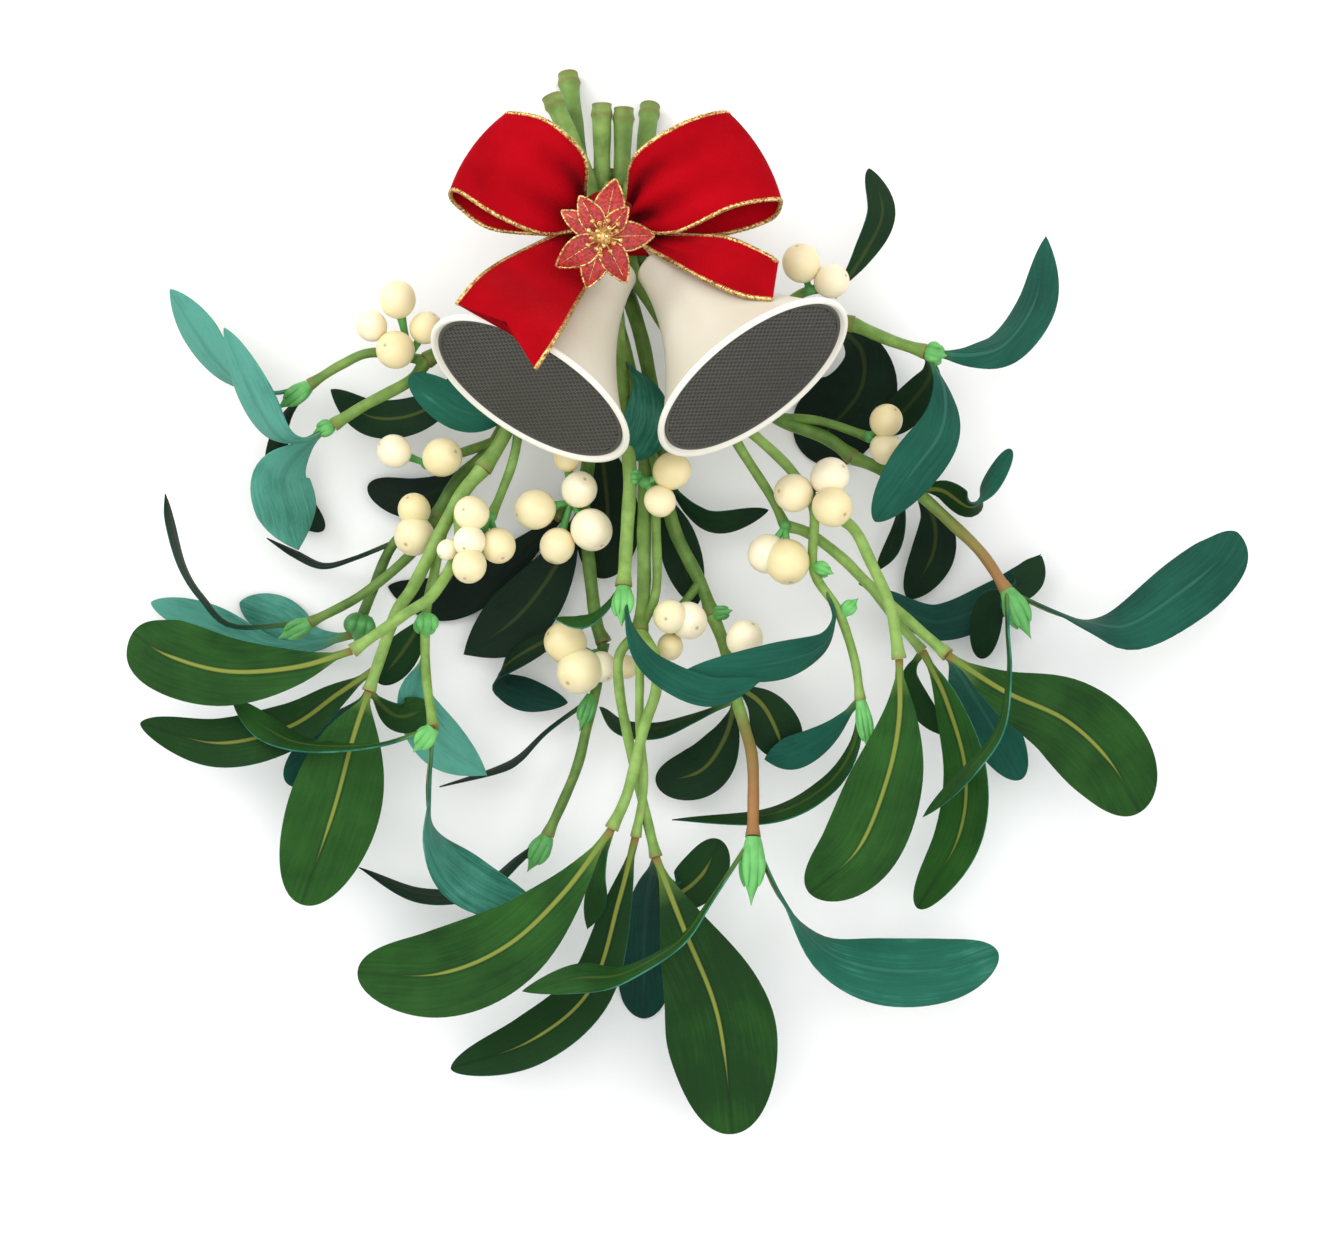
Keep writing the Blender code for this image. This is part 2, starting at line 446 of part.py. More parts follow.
def tube(name, points, radii, collection):
    """A round tube through points in millimetres, with a radius at each, closed at both ends."""
    curve = bpy.data.curves.new(name, "CURVE")
    curve.dimensions = "3D"
    curve.bevel_depth = MM
    curve.bevel_resolution = STEM_SIDES_RESOLUTION
    curve.use_fill_caps = True
    line = curve.splines.new("POLY")
    line.points.add(len(points) - 1)
    for knot, point, radius in zip(line.points, points, radii):
        knot.co = (*place(point), 1.0)
        knot.radius = radius
    made = bpy.data.objects.new(name + "_curve", curve)
    collection.objects.link(made)
    return baked(made, name, collection)


def ball(name, middle, radius, collection, subdivisions=1):
    """A small round lump."""
    cage = bmesh.new()
    bmesh.ops.create_icosphere(cage, subdivisions=subdivisions, radius=radius * MM,
                               matrix=Matrix.Translation(place(middle)))
    mesh = bpy.data.meshes.new(name)
    cage.to_mesh(mesh)
    cage.free()
    return new_object(name, mesh, collection)


def cone_between(name, start, end, radius_start, radius_end, collection, sides=6):
    """A cone or a cylinder whose axis runs between two points in millimetres."""
    start, end = place(start), place(end)
    axis = end - start
    turn = axis.to_track_quat("Z", "Y").to_matrix().to_4x4()
    cage = bmesh.new()
    bmesh.ops.create_cone(cage, cap_ends=True, cap_tris=False, segments=sides, radius1=radius_start * MM,
                          radius2=radius_end * MM, depth=axis.length,
                          matrix=Matrix.Translation((start + end) / 2) @ turn)
    bmesh.ops.triangulate(cage, faces=cage.faces)
    mesh = bpy.data.meshes.new(name)
    cage.to_mesh(mesh)
    cage.free()
    return new_object(name, mesh, collection)


def blade_half_width(u, width, pointed):
    """Half the width at share u of the length: a sine to the widest place, then part of an ellipse."""
    if u < WIDEST_AT:
        share = math.sin(math.pi / 2 * u / WIDEST_AT)**BLADE_SWELL
    else:
        share = max(1 - ((u - WIDEST_AT) / (1 - WIDEST_AT))**2, 0.0)**(0.5 + 0.5 * pointed)
    floor = PETIOLE_HALF_WIDTH * (1 - u) + LEAF_TIP_SHARE * width * u * (1 - 0.6 * pointed)
    return max(width / 2 * share, floor)


def leaf(name, width, spine, collection, pointed=0.0, rows=LEAF_ROWS, thickness=LEAF_THICKNESS):
    """A blade swept along its spine: each row turns about the spine by its own roll."""
    path = between([p[:3] for p in spine], 8)
    rolls = [r.x for r in between([(p[3], 0, 0) for p in spine], 8)]
    broad = width > BROAD_LEAF
    cage = bmesh.new()
    columns, rows = (2, rows) if broad else (1, rows - 1)
    bmesh.ops.create_grid(cage, x_segments=columns, y_segments=rows, size=1.0)
    for vert in cage.verts:
        across, u = vert.co.x, (vert.co.y + 1) / 2
        u += ROWS_TO_TIP * u * (1 - u)
        at = u * (len(path) - 1)
        i = min(int(at), len(path) - 2)
        spot = path[i].lerp(path[i + 1], at - i)
        roll = math.radians(rolls[i] + (rolls[i + 1] - rolls[i]) * (at - i))
        run = (path[min(i + 2, len(path) - 1)] - path[max(i - 1, 0)]).normalized()
        level = Vector((0, 0, 1)).cross(run).normalized()
        over = run.cross(level)
        side = level * math.cos(roll) + over * math.sin(roll)
        half = blade_half_width(u, width, pointed)
        cup = broad * LEAF_CUP * 2 * half * across**2
        vert.co = place(spot + side * across * half + run.cross(side) * cup)
    bmesh.ops.triangulate(cage, faces=cage.faces)
    mesh = bpy.data.meshes.new(name)
    cage.to_mesh(mesh)
    cage.free()
    made = new_object(name + "_sheet", mesh, collection)
    solidify = made.modifiers.new("thickness", "SOLIDIFY")
    solidify.thickness = thickness * MM
    solidify.offset = 0.0
    return baked(made, name, collection)


def fused(name, pieces, collection, material, cutters=()):
    """One closed body: the union of the pieces, less the cutters."""
    first, *others = pieces
    for operation, operands in (("UNION", others), ("DIFFERENCE", cutters)):
        for operand in operands:
            boolean = first.modifiers.new("boolean", "BOOLEAN")
            boolean.operation = operation
            boolean.object = operand
            boolean.solver = "MANIFOLD"
    made = baked(first, name, collection, material, weld=False)
    for piece in [*others, *cutters]:
        bpy.data.objects.remove(piece, do_unlink=True)
    return made


def stem_radii(points, start, end, tied):
    """A stem's radius at each point: thick at the cut end, the tie's size through the tie, then tapering."""
    if not tied:
        last = len(points) - 1
        return [start + (end - start) * i / last for i in range(last + 1)]
    rest = len(points) - 3
    return [start, TIE_STEM_RADIUS, TIE_STEM_RADIUS,
            *(TIE_STEM_RADIUS + (end - TIE_STEM_RADIUS) * (i + 1) / rest for i in range(rest))]


def sprig(name, spec, collection, material):
    """One sprig as a single body: stems, swollen forks, leaves and buds, cut level where it rests."""
    pieces = []
    for i, (start, end, points) in enumerate(spec["stems"]):
        pieces.append(tube(f"{name}_stem_{i}", points, stem_radii(points, start, end, i == 0), collection))
        pieces.append(ball(f"{name}_fork_{i}", points[-1], end * FORK_SWELLING, collection))
    for i, (width, spine, *pointed) in enumerate(spec["leaves"]):
        pieces.append(leaf(f"{name}_leaf_{i}", width, spine, collection, *pointed))
    for i, (radius, base, tip) in enumerate(spec["buds"]):
        pieces.append(cone_between(f"{name}_bud_{i}", base, tip, radius, radius * 0.4, collection))
    reach, depth = BELOW_SURFACE
    below = cone_between("below_surface", (0, 0, 0), (0, 0, -depth), reach, reach, collection, sides=8)
    return fused(name, pieces, collection, material, [below])


def berry_cluster(name, spec, collection, material):
    """Berries on short stalks that start from a lump just clear of their stem."""
    stem_point, stem_radius, berries = spec
    core = Vector(stem_point) + Vector((0, 0, stem_radius + SEAT_GAP + CLUSTER_CORE_RADIUS))
    pieces = [ball(name + "_core", core, CLUSTER_CORE_RADIUS, collection)]
    for i, (x, y, z, radius) in enumerate(berries):
        pieces.append(ball(f"{name}_berry_{i}", (x, y, z), radius, collection, subdivisions=2))
        pieces.append(cone_between(f"{name}_stalk_{i}", core, (x, y, z), PEDICEL_RADIUS, PEDICEL_RADIUS,
                                   collection, sides=4))
    return fused(name, pieces, collection, material)


def bell_radius(depth):
    """The bell's outer radius at a depth below its crown."""
    return BELL_CROWN_RADIUS + (BELL_RIM_RADIUS - BELL_CROWN_RADIUS) * (depth / BELL_LENGTH)**BELL_FLARE


def bell_frame(mouth, heading):
    """The matrix that carries a bell drawn under the origin, crown up, to its place; also its direction."""
    level = Vector((*heading, 0)).normalized()
    tilt = math.radians(BELL_TILT)
    axis = level * math.cos(tilt) + Vector((0, 0, math.sin(tilt)))
    crown = Vector((*mouth, BELL_MOUTH_HEIGHT)) - axis * BELL_LENGTH
    return Matrix.Translation(place(crown)) @ axis.to_track_quat("-Z", "Y").to_matrix().to_4x4()


def bell_profile():
    """Radius and depth from the crown's top, down the outside, round the rolled rim and up the inside."""
    depths = [BELL_LENGTH * share for share in (0.15, 0.4, 0.62, 0.8, 0.93)]
    outer = [(bell_radius(d), d) for d in depths]
    rim = [(BELL_RIM_RADIUS + BELL_RIM_ROLL, BELL_LENGTH - BELL_RIM_ROLL / 2),
           (BELL_RIM_RADIUS + BELL_RIM_ROLL, BELL_LENGTH + BELL_RIM_ROLL / 2),
           (BELL_RIM_RADIUS, BELL_LENGTH + BELL_RIM_ROLL),
           (BELL_RIM_RADIUS - BELL_RIM_ROLL, BELL_LENGTH)]
    inner = [(r - BELL_WALL, d + BELL_WALL * 0.3) for r, d in reversed(outer)]
    return [(0, 0), (BELL_CROWN_RADIUS - 1, 0), (BELL_CROWN_RADIUS, 1), *outer, *rim, *inner,
            (BELL_CROWN_RADIUS - BELL_WALL, 2 * BELL_WALL), (0, 2 * BELL_WALL)]


def bell(side, collection, material):
    """One flared bell, hollow and open at the mouth, with the stub it hangs from."""
    mouth, heading = BELLS[side]
    cage = bmesh.new()
    line = [cage.verts.new((r * MM, 0, -d * MM)) for r, d in bell_profile()]
    for a, b in zip(line, line[1:]):
        cage.edges.new((a, b))
    mesh = bpy.data.meshes.new("bell_profile")
    cage.to_mesh(mesh)
    cage.free()
    turned = new_object("bell_turned", mesh, collection)
    screw = turned.modifiers.new("turn", "SCREW")
    screw.steps = screw.render_steps = BELL_SIDES
    screw.use_merge_vertices = True
    screw.merge_threshold = 0.00001
    shell = baked(turned, "bell_shell", collection)
    frame = bell_frame(mouth, heading)
    shell.data.transform(frame)
    back = frame.to_3x3() @ Vector((0, 0, 1))
    crown = frame.translation / MM + LAYOUT_MIDDLE
    radius, length = BELL_STUB
    stub = cone_between("bell_stub", crown - back * BELL_WALL, crown + back * length, radius, radius,
                        collection, 8)
    return fused(f"bell_{side}", [shell, stub], collection, material)


def bell_grille(side, collection, material):
    """The flat mesh disc inside a bell's mouth."""
    frame = bell_frame(*BELLS[side])
    depth = BELL_LENGTH - GRILLE_DEPTH
    inside = sorted((d, r) for r, d in bell_profile()[-8:-2])
    radius = float(np.interp(depth - GRILLE_THICKNESS, *zip(*inside))) - SEAT_GAP
    cage = bmesh.new()
    bmesh.ops.create_cone(cage, cap_ends=True, segments=BELL_SIDES, radius1=radius * MM, radius2=radius * MM,
                          depth=GRILLE_THICKNESS * MM,
                          matrix=frame @ Matrix.Translation((0, 0, -(depth - GRILLE_THICKNESS / 2) * MM)))
    bmesh.ops.triangulate(cage, faces=cage.faces)
    mesh = bpy.data.meshes.new("grille")
    cage.to_mesh(mesh)
    cage.free()
    return new_object(f"bell_{side}_grille", mesh, collection, material)


def ribbon(name, cross_lines, rows, collection, material, notch=0.0, bulge=0.0):
    """A ribbon lofted through its cross lines: a notch pulls its end's middle back, a bulge bows it out."""
    left = between([a for a, b in cross_lines], 6)
    right = between([b for a, b in cross_lines], 6)
    length = sum((p - q).length for p, q in zip(left, left[1:]))
    cage = bmesh.new()
    bmesh.ops.create_grid(cage, x_segments=2, y_segments=rows, size=1.0)
    for vert in cage.verts:
        across, u = vert.co.x, (vert.co.y + 1) / 2
        u *= 1 - notch / length * (1 - abs(across))
        at = u * (len(left) - 1)
        i = min(int(at), len(left) - 2)
        a, b = left[i].lerp(left[i + 1], at - i), right[i].lerp(right[i + 1], at - i)
        spot = a.lerp(b, (across + 1) / 2)
        out = Vector((spot.x - TIE.x, spot.y - TIE.y, 0)).normalized()
        vert.co = place(spot + out * bulge * math.sin(math.pi * u)**2 * (1 - across**2))
    bmesh.ops.triangulate(cage, faces=cage.faces)
    mesh = bpy.data.meshes.new(name)
    cage.to_mesh(mesh)
    cage.free()
    made = new_object(name + "_sheet", mesh, collection)
    solidify = made.modifiers.new("thickness", "SOLIDIFY")
    solidify.thickness = RIBBON_THICKNESS * MM
    solidify.offset = 0.0
    return baked(made, name, collection, material)


def ribbon_band(collection, material):
    """The band round the stems with the knot on top, hollowed where the bells' stubs hang in it."""
    cage = bmesh.new()
    bmesh.ops.create_cone(cage, cap_ends=False, segments=20, radius1=MM, radius2=MM,
                          depth=2 * BAND_HALF_LENGTH * MM,
                          matrix=Matrix.Translation(place(TIE))
                          @ Matrix.Diagonal((BAND_HALF_WIDTH, 1, BAND_HALF_HEIGHT, 1))
                          @ Matrix.Rotation(math.pi / 2, 4, "X"))
    mesh = bpy.data.meshes.new("band")
    cage.to_mesh(mesh)
    cage.free()
    band = new_object("band_sheet", mesh, collection)
    solidify = band.modifiers.new("thickness", "SOLIDIFY")
    solidify.thickness = RIBBON_THICKNESS * MM
    solidify.offset = 0.0
    pieces = [baked(band, "band", collection)]
    for i, (middle, sizes) in enumerate(KNOT_LUMPS):
        lump = ball(f"knot_{i}", (0, 0, 0), 1.0, collection, subdivisions=2)
        lump.data.transform(Matrix.Translation(place(middle)) @ Matrix.Diagonal((*sizes, 1))
                            @ Matrix.Translation(-place((0, 0, 0))))
        pieces.append(lump)
    cutters = []
    for side in BELLS:
        frame = bell_frame(*BELLS[side])
        back = frame.to_3x3() @ Vector((0, 0, 1))
        crown = frame.translation / MM + LAYOUT_MIDDLE
        radius, length = BELL_STUB
        cutters.append(cone_between("stub_room", crown - back, crown + back * (length + SEAT_GAP),
                                    radius + SEAT_GAP, radius + SEAT_GAP, collection, 8))
        depth, flare = CROWN_ROOM
        cutters.append(cone_between("crown_room", crown - back * depth, crown + back * SEAT_GAP,
                                    BELL_CROWN_RADIUS + flare, BELL_CROWN_RADIUS + SEAT_GAP, collection, 24))
    along = Vector((0, 20, 0))
    inside = cone_between("band_room", TIE - along, TIE + along, 1, 1, collection, 20)
    half_wall = RIBBON_THICKNESS / 2
    shape = Matrix.Diagonal((BAND_HALF_WIDTH - half_wall, 1, BAND_HALF_HEIGHT - half_wall, 1))
    inside.data.transform(Matrix.Translation(place(TIE)) @ shape @ Matrix.Translation(-place(TIE)))
    return fused("ribbon_tie", pieces, collection, material, [*cutters, inside])


def poinsettia(collection, red, gold):
    """Eight petals on a small disc and a short stalk, and the gold beads at the centre."""
    pieces = [cone_between("disc", FLOWER, FLOWER + Vector((0, 0, 2)), FLOWER_DISC_RADIUS, FLOWER_DISC_RADIUS,
                           collection, 12),
              cone_between("stalk", FLOWER_STEM_FOOT, FLOWER + Vector((0, 0, 1)), FLOWER_STEM_RADIUS,
                           FLOWER_STEM_RADIUS, collection, 8)]
    for i, (angle, length, width, droop) in enumerate(PETALS):
        out = Vector((math.cos(math.radians(angle)), math.sin(math.radians(angle)), 0))
        lift = 1.0 + 0.5 * (i % 2)
        spine = [(*(FLOWER + out * (length * s) + Vector((0, 0, lift + h))), 0.0)
                 for s, h in ((0.12, 0), (0.5, 0.8), (1.0, -droop))]
        pieces.append(leaf(f"petal_{i}", width, spine, collection, 1.0, rows=4, thickness=PETAL_THICKNESS))
    fused("poinsettia_petals", pieces, collection, red)
    top = FLOWER + Vector((0, 0, 3.2))
    pieces = [cone_between("bead_disc", top, top + Vector((0, 0, 0.8)), 2.4, 2.4, collection, 12)]
    for i in range(BEADS):
        turn = 2 * math.pi * i / BEADS
        spot = top + Vector((math.cos(turn) * 2.4, math.sin(turn) * 2.4, 0.9 + 0.5 * (i % 2)))
        pieces.append(ball(f"bead_{i}", spot, BEAD_RADIUS, collection))
    fused("poinsettia_beads", pieces, collection, gold)


def build():
    clear_scene()
    bunch = bpy.data.collections.new("mistletoe_bunch")
    bpy.context.scene.collection.children.link(bunch)
    green = finish("leaf_green", (0.03, 0.12, 0.04), 0.55)
    cream = finish("berry_cream", (0.9, 0.84, 0.55), 0.35)
    velvet = finish("red_velvet", (0.55, 0.0, 0.01), 0.8)
    gold = finish("gold_glitter", (0.6, 0.36, 0.1), 0.35, 1.0)
    ivory = finish("ivory_enamel", (0.85, 0.82, 0.72), 0.35)
    mesh_grey = finish("dark_mesh", (0.07, 0.065, 0.06), 0.6)
    for name, spec in SPRIGS.items():
        sprig(name, spec, bunch, green)
    for name, spec in BERRY_CLUSTERS.items():
        berry_cluster(name, spec, bunch, cream)
    for side in BELLS:
        bell(side, bunch, ivory)
        bell_grille(side, bunch, mesh_grey)
        ribbon(f"bow_loop_{side}", LOOPS[side], 16, bunch, velvet, bulge=LOOP_BULGE)
        ribbon(f"bow_tail_{side}", TAILS[side], 10, bunch, velvet, TAIL_NOTCH[side])
    ribbon_band(bunch, velvet)
    poinsettia(bunch, velvet, gold)


build()
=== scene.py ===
# %% [markdown]
# # A bunch of mistletoe with a bow and two bells
# The real thing lies on a table: ten cut sprigs tied with red velvet ribbon, cream berries in the forks,
# two ivory bells under the bow and a small glitter flower on the knot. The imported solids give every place
# and size. This script puts a finely modelled surface over each of them and gives it the finish of the
# real material.

# %% Load the fixed frame
import math

import bpy
import numpy as np
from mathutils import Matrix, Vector


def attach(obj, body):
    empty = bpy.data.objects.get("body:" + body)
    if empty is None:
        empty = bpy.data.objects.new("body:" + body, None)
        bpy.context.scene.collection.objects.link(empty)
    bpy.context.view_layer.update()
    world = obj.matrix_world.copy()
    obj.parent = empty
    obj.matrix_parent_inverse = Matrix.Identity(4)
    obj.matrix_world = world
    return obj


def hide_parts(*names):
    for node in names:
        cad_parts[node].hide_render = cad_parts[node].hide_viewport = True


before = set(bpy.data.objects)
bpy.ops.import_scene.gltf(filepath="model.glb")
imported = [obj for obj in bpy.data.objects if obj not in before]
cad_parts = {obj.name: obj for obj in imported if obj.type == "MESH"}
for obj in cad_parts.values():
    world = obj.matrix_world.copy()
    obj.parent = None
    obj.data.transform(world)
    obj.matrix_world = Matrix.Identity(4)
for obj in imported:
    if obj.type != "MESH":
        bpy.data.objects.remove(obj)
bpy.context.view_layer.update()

# %% [markdown]
# ## The layout frame
# A florist lays a bunch out from one point. All places here are millimetres in such a layout: x to the
# right, y towards the cut stems and z up from the table. One small function moves them to the frame,
# whose origin is under the middle of the bunch.

# %% From layout millimetres to the frame's metres
MM = 0.001
LAYOUT_MIDDLE = np.array([6.8, 5.3, 0.0])
TABLE_CLEARANCE = 0.02  # millimetres that everything stays above the table


def placed(points):
    """Subtract the layout's middle, lift what would dip into the table and scale millimetres to metres."""
    moved = np.asarray(points, float) - LAYOUT_MIDDLE
    moved[..., 2] = np.maximum(moved[..., 2], TABLE_CLEARANCE)
    return moved * MM


# %% [markdown]
# ## Surfaces from arrays
# Every new piece is a grid of points worked out by a formula: rows run along the piece, columns run round
# it. One function turns such grids into quads, and one joins them into a mesh with its finishes and
# attributes. A grid is quick to compute as one array, and its rows and columns give the material a
# direction to follow.

# %% Grid and mesh helpers
def ring_quads(rows, columns):
    """Quads between neighbouring rows; the last column meets the first."""
    r, c = np.meshgrid(np.arange(rows - 1), np.arange(columns), indexing="ij")
    n = (c + 1) % columns
    corners = [r * columns + c, r * columns + n, (r + 1) * columns + n, (r + 1) * columns + c]
    return np.stack(corners, -1).reshape(-1, 4)


def patch(grid, slot=0, uv=None, values=None, caps=True, faces=None):
    """One grid with its finish slot (one number, or one for each row or column), uv, values and faces."""
    rows, columns = grid.shape[:2]
    if faces is None:
        faces = ring_quads(rows, columns)
        slots = np.broadcast_to(slot, (rows - 1, columns)).reshape(-1)
    else:
        slots = np.full(len(faces), slot)
    uv = np.zeros((rows * columns, 2)) if uv is None else np.asarray(uv, float).reshape(-1, 2)
    return {"points": grid.reshape(-1, 3), "faces": faces, "slots": slots, "shape": (rows, columns),
            "uv": uv, "values": values or {}, "caps": caps}


def on_rings(values, rows, columns):
    """Repeat each value, given once or for each row, on all the points of its row."""
    return {name: np.repeat(np.broadcast_to(v, rows), columns) for name, v in (values or {}).items()}


def mesh_piece(name, patches, finishes):
    """Join patches into one object in the frame; the ends of a capped one get one many-sided face each."""
    points = placed(np.concatenate([p["points"] for p in patches]))
    starts = np.cumsum([0] + [len(p["points"]) for p in patches])
    faces = np.concatenate([p["faces"] + s for p, s in zip(patches, starts)]).tolist()
    slots = [p["slots"] for p in patches]
    for p, s in zip(patches, starts):
        if p["caps"]:
            rows, columns = p["shape"]
            ring = np.arange(columns) + s
            faces += [ring[::-1].tolist(), (ring + (rows - 1) * columns).tolist()]
            slots.append(p["slots"][[0, -1]])
    mesh = bpy.data.meshes.new(name)
    mesh.from_pydata(points, [], faces)
    mesh.polygons.foreach_set("material_index", np.concatenate(slots).astype(int))
    mesh.shade_smooth()
    corners = np.empty(len(mesh.loops), int)
    mesh.loops.foreach_get("vertex_index", corners)
    uv = np.concatenate([p["uv"] for p in patches])
    mesh.uv_layers.new(name="UVMap").data.foreach_set("uv", uv[corners].reshape(-1))
    for attribute in dict.fromkeys(key for p in patches for key in p["values"]):
        column = [np.broadcast_to(p["values"].get(attribute, 0.0), len(p["points"])) for p in patches]
        made = mesh.attributes.new(attribute, "FLOAT", "POINT")
        made.data.foreach_set("value", np.concatenate(column).astype(np.float32))
    mesh.validate()
    piece = bpy.data.objects.new(name, mesh)
    bpy.context.scene.collection.objects.link(piece)
    for finish in finishes:
        mesh.materials.append(finish)
    print(f"{name}: {len(points)} points, {len(mesh.polygons)} faces")
    return piece


def dress(piece, *nodes, slot):
    """The piece stands for its solids and rides with them; the slot is not used."""
    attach(piece, "root")
    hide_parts(*nodes)


# %% [markdown]
# ## Curves
# Stems and leaves bend smoothly through a few points that a hand could set. A Catmull-Rom curve passes
# through all of its points, so the points can be read as places on the plant. Tubes and balls are the two
# plain bodies that most of the bunch grows from.

# %% Smooth curves, tubes and balls
ASKEW = (0.31, 0.95, 0.05)  # a direction that no ball's axis lies along
FIRST_RING = 0.03  # radians from a ball's pole to its first ring, inside which a cap closes it
DIMPLE_REACH = 0.22  # radians


def hump(distance, reach):
    """A bell curve: e to the power of minus the square of the distance over the reach."""
    return np.exp(-(distance / reach)**2)


def curve_through(points, share):
    """Catmull-Rom: a cubic between each two points; the slope is half the way between neighbours."""
    p = np.asarray(points, float)
    p = np.concatenate([[2 * p[0] - p[1]], p, [2 * p[-1] - p[-2]]])
    at = np.clip(np.asarray(share) * (len(p) - 3), 0, len(p) - 3 - 1e-9)
    i, t = at.astype(int), (at % 1)[:, None]
    a, b, c, d = p[i], p[i + 1], p[i + 2], p[i + 3]
    return 0.5 * (2 * b + (c - a) * t + (2 * a - 5 * b + 4 * c - d) * t**2 + (3 * b - a - 3 * c + d) * t**3)


def unit(v):
    """Scale vectors to length one."""
    return v / np.maximum(np.linalg.norm(v, axis=-1, keepdims=True), 1e-12)


def full_turn(columns):
    """Angles all the way round, each step the same."""
    return np.linspace(0, 2 * np.pi, columns, endpoint=False)


def length_along(path):
    """The way from the first point to each point: a running sum of the steps between them."""
    return np.concatenate([[0], np.cumsum(np.linalg.norm(np.diff(path, axis=0), axis=1))])


def frame_along(path):
    """Direction of travel, the level sideways direction and the one over both, at each point of a path."""
    run = unit(np.gradient(path, axis=0))
    level = unit(np.cross([0.0, 0.0, 1.0], run))
    return run, level, np.cross(run, level)


def tube(path, radii, sides=14, values=None, slot=0, ridges=0.0):
    """A ring round each point of the path; ridges shift the radius by a cosine of five waves a turn."""
    run, level, over = frame_along(path)
    turn = full_turn(sides)
    r = np.broadcast_to(radii, len(path))[:, None] * (1 + ridges * np.cos(5 * turn)[None])
    ring = (r * np.cos(turn))[..., None] * level[:, None] + (r * np.sin(turn))[..., None] * over[:, None]
    uv = np.stack(np.broadcast_arrays(turn[None] / (2 * np.pi), length_along(path)[:, None]), -1)
    return patch(path[:, None] + ring, slot, uv, on_rings(values, len(path), sides))


def ball(middle, radius, axis=(0, 0, 1), stretch=1.0, rows=12, columns=16, values=None, slot=0, dimple=0.0):
    """A sphere stretched along an axis, with a small dimple at its far pole; values may read the angle."""
    axis = unit(np.asarray(axis, float))
    side = unit(np.cross(axis, ASKEW))
    angle = np.linspace(FIRST_RING, np.pi - FIRST_RING, rows)
    turn = full_turn(columns)[None, :, None]
    r = radius * (1 - dimple * hump(angle, DIMPLE_REACH))
    ring = np.sin(angle)[:, None, None] * (np.cos(turn) * np.cross(axis, side) + np.sin(turn) * side)
    grid = np.asarray(middle) + r[:, None, None] * (ring + np.cos(angle)[:, None, None] * axis * stretch)
    values = {name: v(angle) if callable(v) else v for name, v in (values or {}).items()}
    return patch(grid, slot, None, on_rings(values, rows, columns))


# %% [markdown]
# ## Colour and nodes
# Colours are given as the hex values that a colour picker shows. The shader works in linear light, so one
# function converts them. One more adds a node with its settings and links, which keeps each finish short
# to read. No natural or woven surface is quite even, so a third lays soft noise over a tone, and a fourth
# lays stains and marks over a ground.

# %% Colour and node helpers
def linear(hex_colour):
    """sRGB hex to linear: s / 12.92 up to 0.04045, and ((s + 0.055) / 1.055) to the power 2.4 above it."""
    s = np.array([int(hex_colour[i:i + 2], 16) / 255 for i in (0, 2, 4)])
    return (*np.where(s <= 0.04045, s / 12.92, ((s + 0.055) / 1.055)**2.4), 1.0)


def add_node(tree, kind, *inputs, out=0, to=None, stops=(), **settings):
    """Add one node and give back one of its outputs, linked on to a socket if one is named.

    The inputs are values or sockets to link, in the node's order or as one dictionary by name or number.
    The settings are the node's properties, and the stops a colour ramp's places and hex colours.
    """
    node = tree.nodes.new("ShaderNode" + kind)
    for name, value in settings.items():
        setattr(node, name, value)
    given = inputs[0] if inputs and isinstance(inputs[0], dict) else dict(enumerate(inputs))
    for socket, value in given.items():
        if isinstance(value, bpy.types.NodeSocket):
            tree.links.new(value, node.inputs[socket])
        else:
            node.inputs[socket].default_value = value
    for _ in stops[2:]:
        node.color_ramp.elements.new(0.5)
    for i, (place, colour) in enumerate(stops):
        node.color_ramp.elements[i].position = place
        node.color_ramp.elements[i].color = linear(colour)
    if to is not None:
        tree.links.new(node.outputs[out], to)
    return node.outputs[out]


def new_finish(name, **shader_values):
    """A material, its node tree and its shader's inputs, with the values that are the same all over it."""
    material = bpy.data.materials.new(name)
    material.use_nodes = True
    shader = material.node_tree.nodes["Principled BSDF"]
    for socket, value in shader_values.items():
        shader.inputs[socket.replace("_", " ")].default_value = value
    return material, material.node_tree, shader.inputs


def uneven(tree, tone, size, swing, detail=2.0, roughness=0.5):
    """The tone plus noise on object coordinates, half the swing either way, in grains this many mm wide."""
    where = add_node(tree, "TexCoord", out="Object")
    noise = add_node(tree, "TexNoise", {"Vector": where, "Scale": 1 / (size * MM), "Detail": detail,
                                        "Roughness": roughness}, out="Fac")
    shift = add_node(tree, "MapRange", noise, 0, 1, -swing / 2, swing / 2)
    return add_node(tree, "Math", tone, shift, operation="ADD")


def layered(tree, ground, layers, to):
    """Lay colours over a ground one after another: each mixes in by its own share."""
    for share, colour in layers:
        ground = add_node(tree, "Mix", {0: share, 6: ground, 7: linear(colour)}, out=2, data_type="RGBA")
    tree.links.new(ground, to)


# %% [markdown]
# ## How a leaf is made
# A mistletoe leaf is a leathery spoon: a thin stalk that swells to its widest two thirds of the way out
# and ends in a round tip. It is swept along its spine, and the roll beside each point says how far it has
# twisted there, so that one leaf can show its green face, its edge and its blue-green back. The two faces
# are separate rows of points with a thin rim between them, because the real leaf is almost a millimetre
# thick and catches light on that rim.

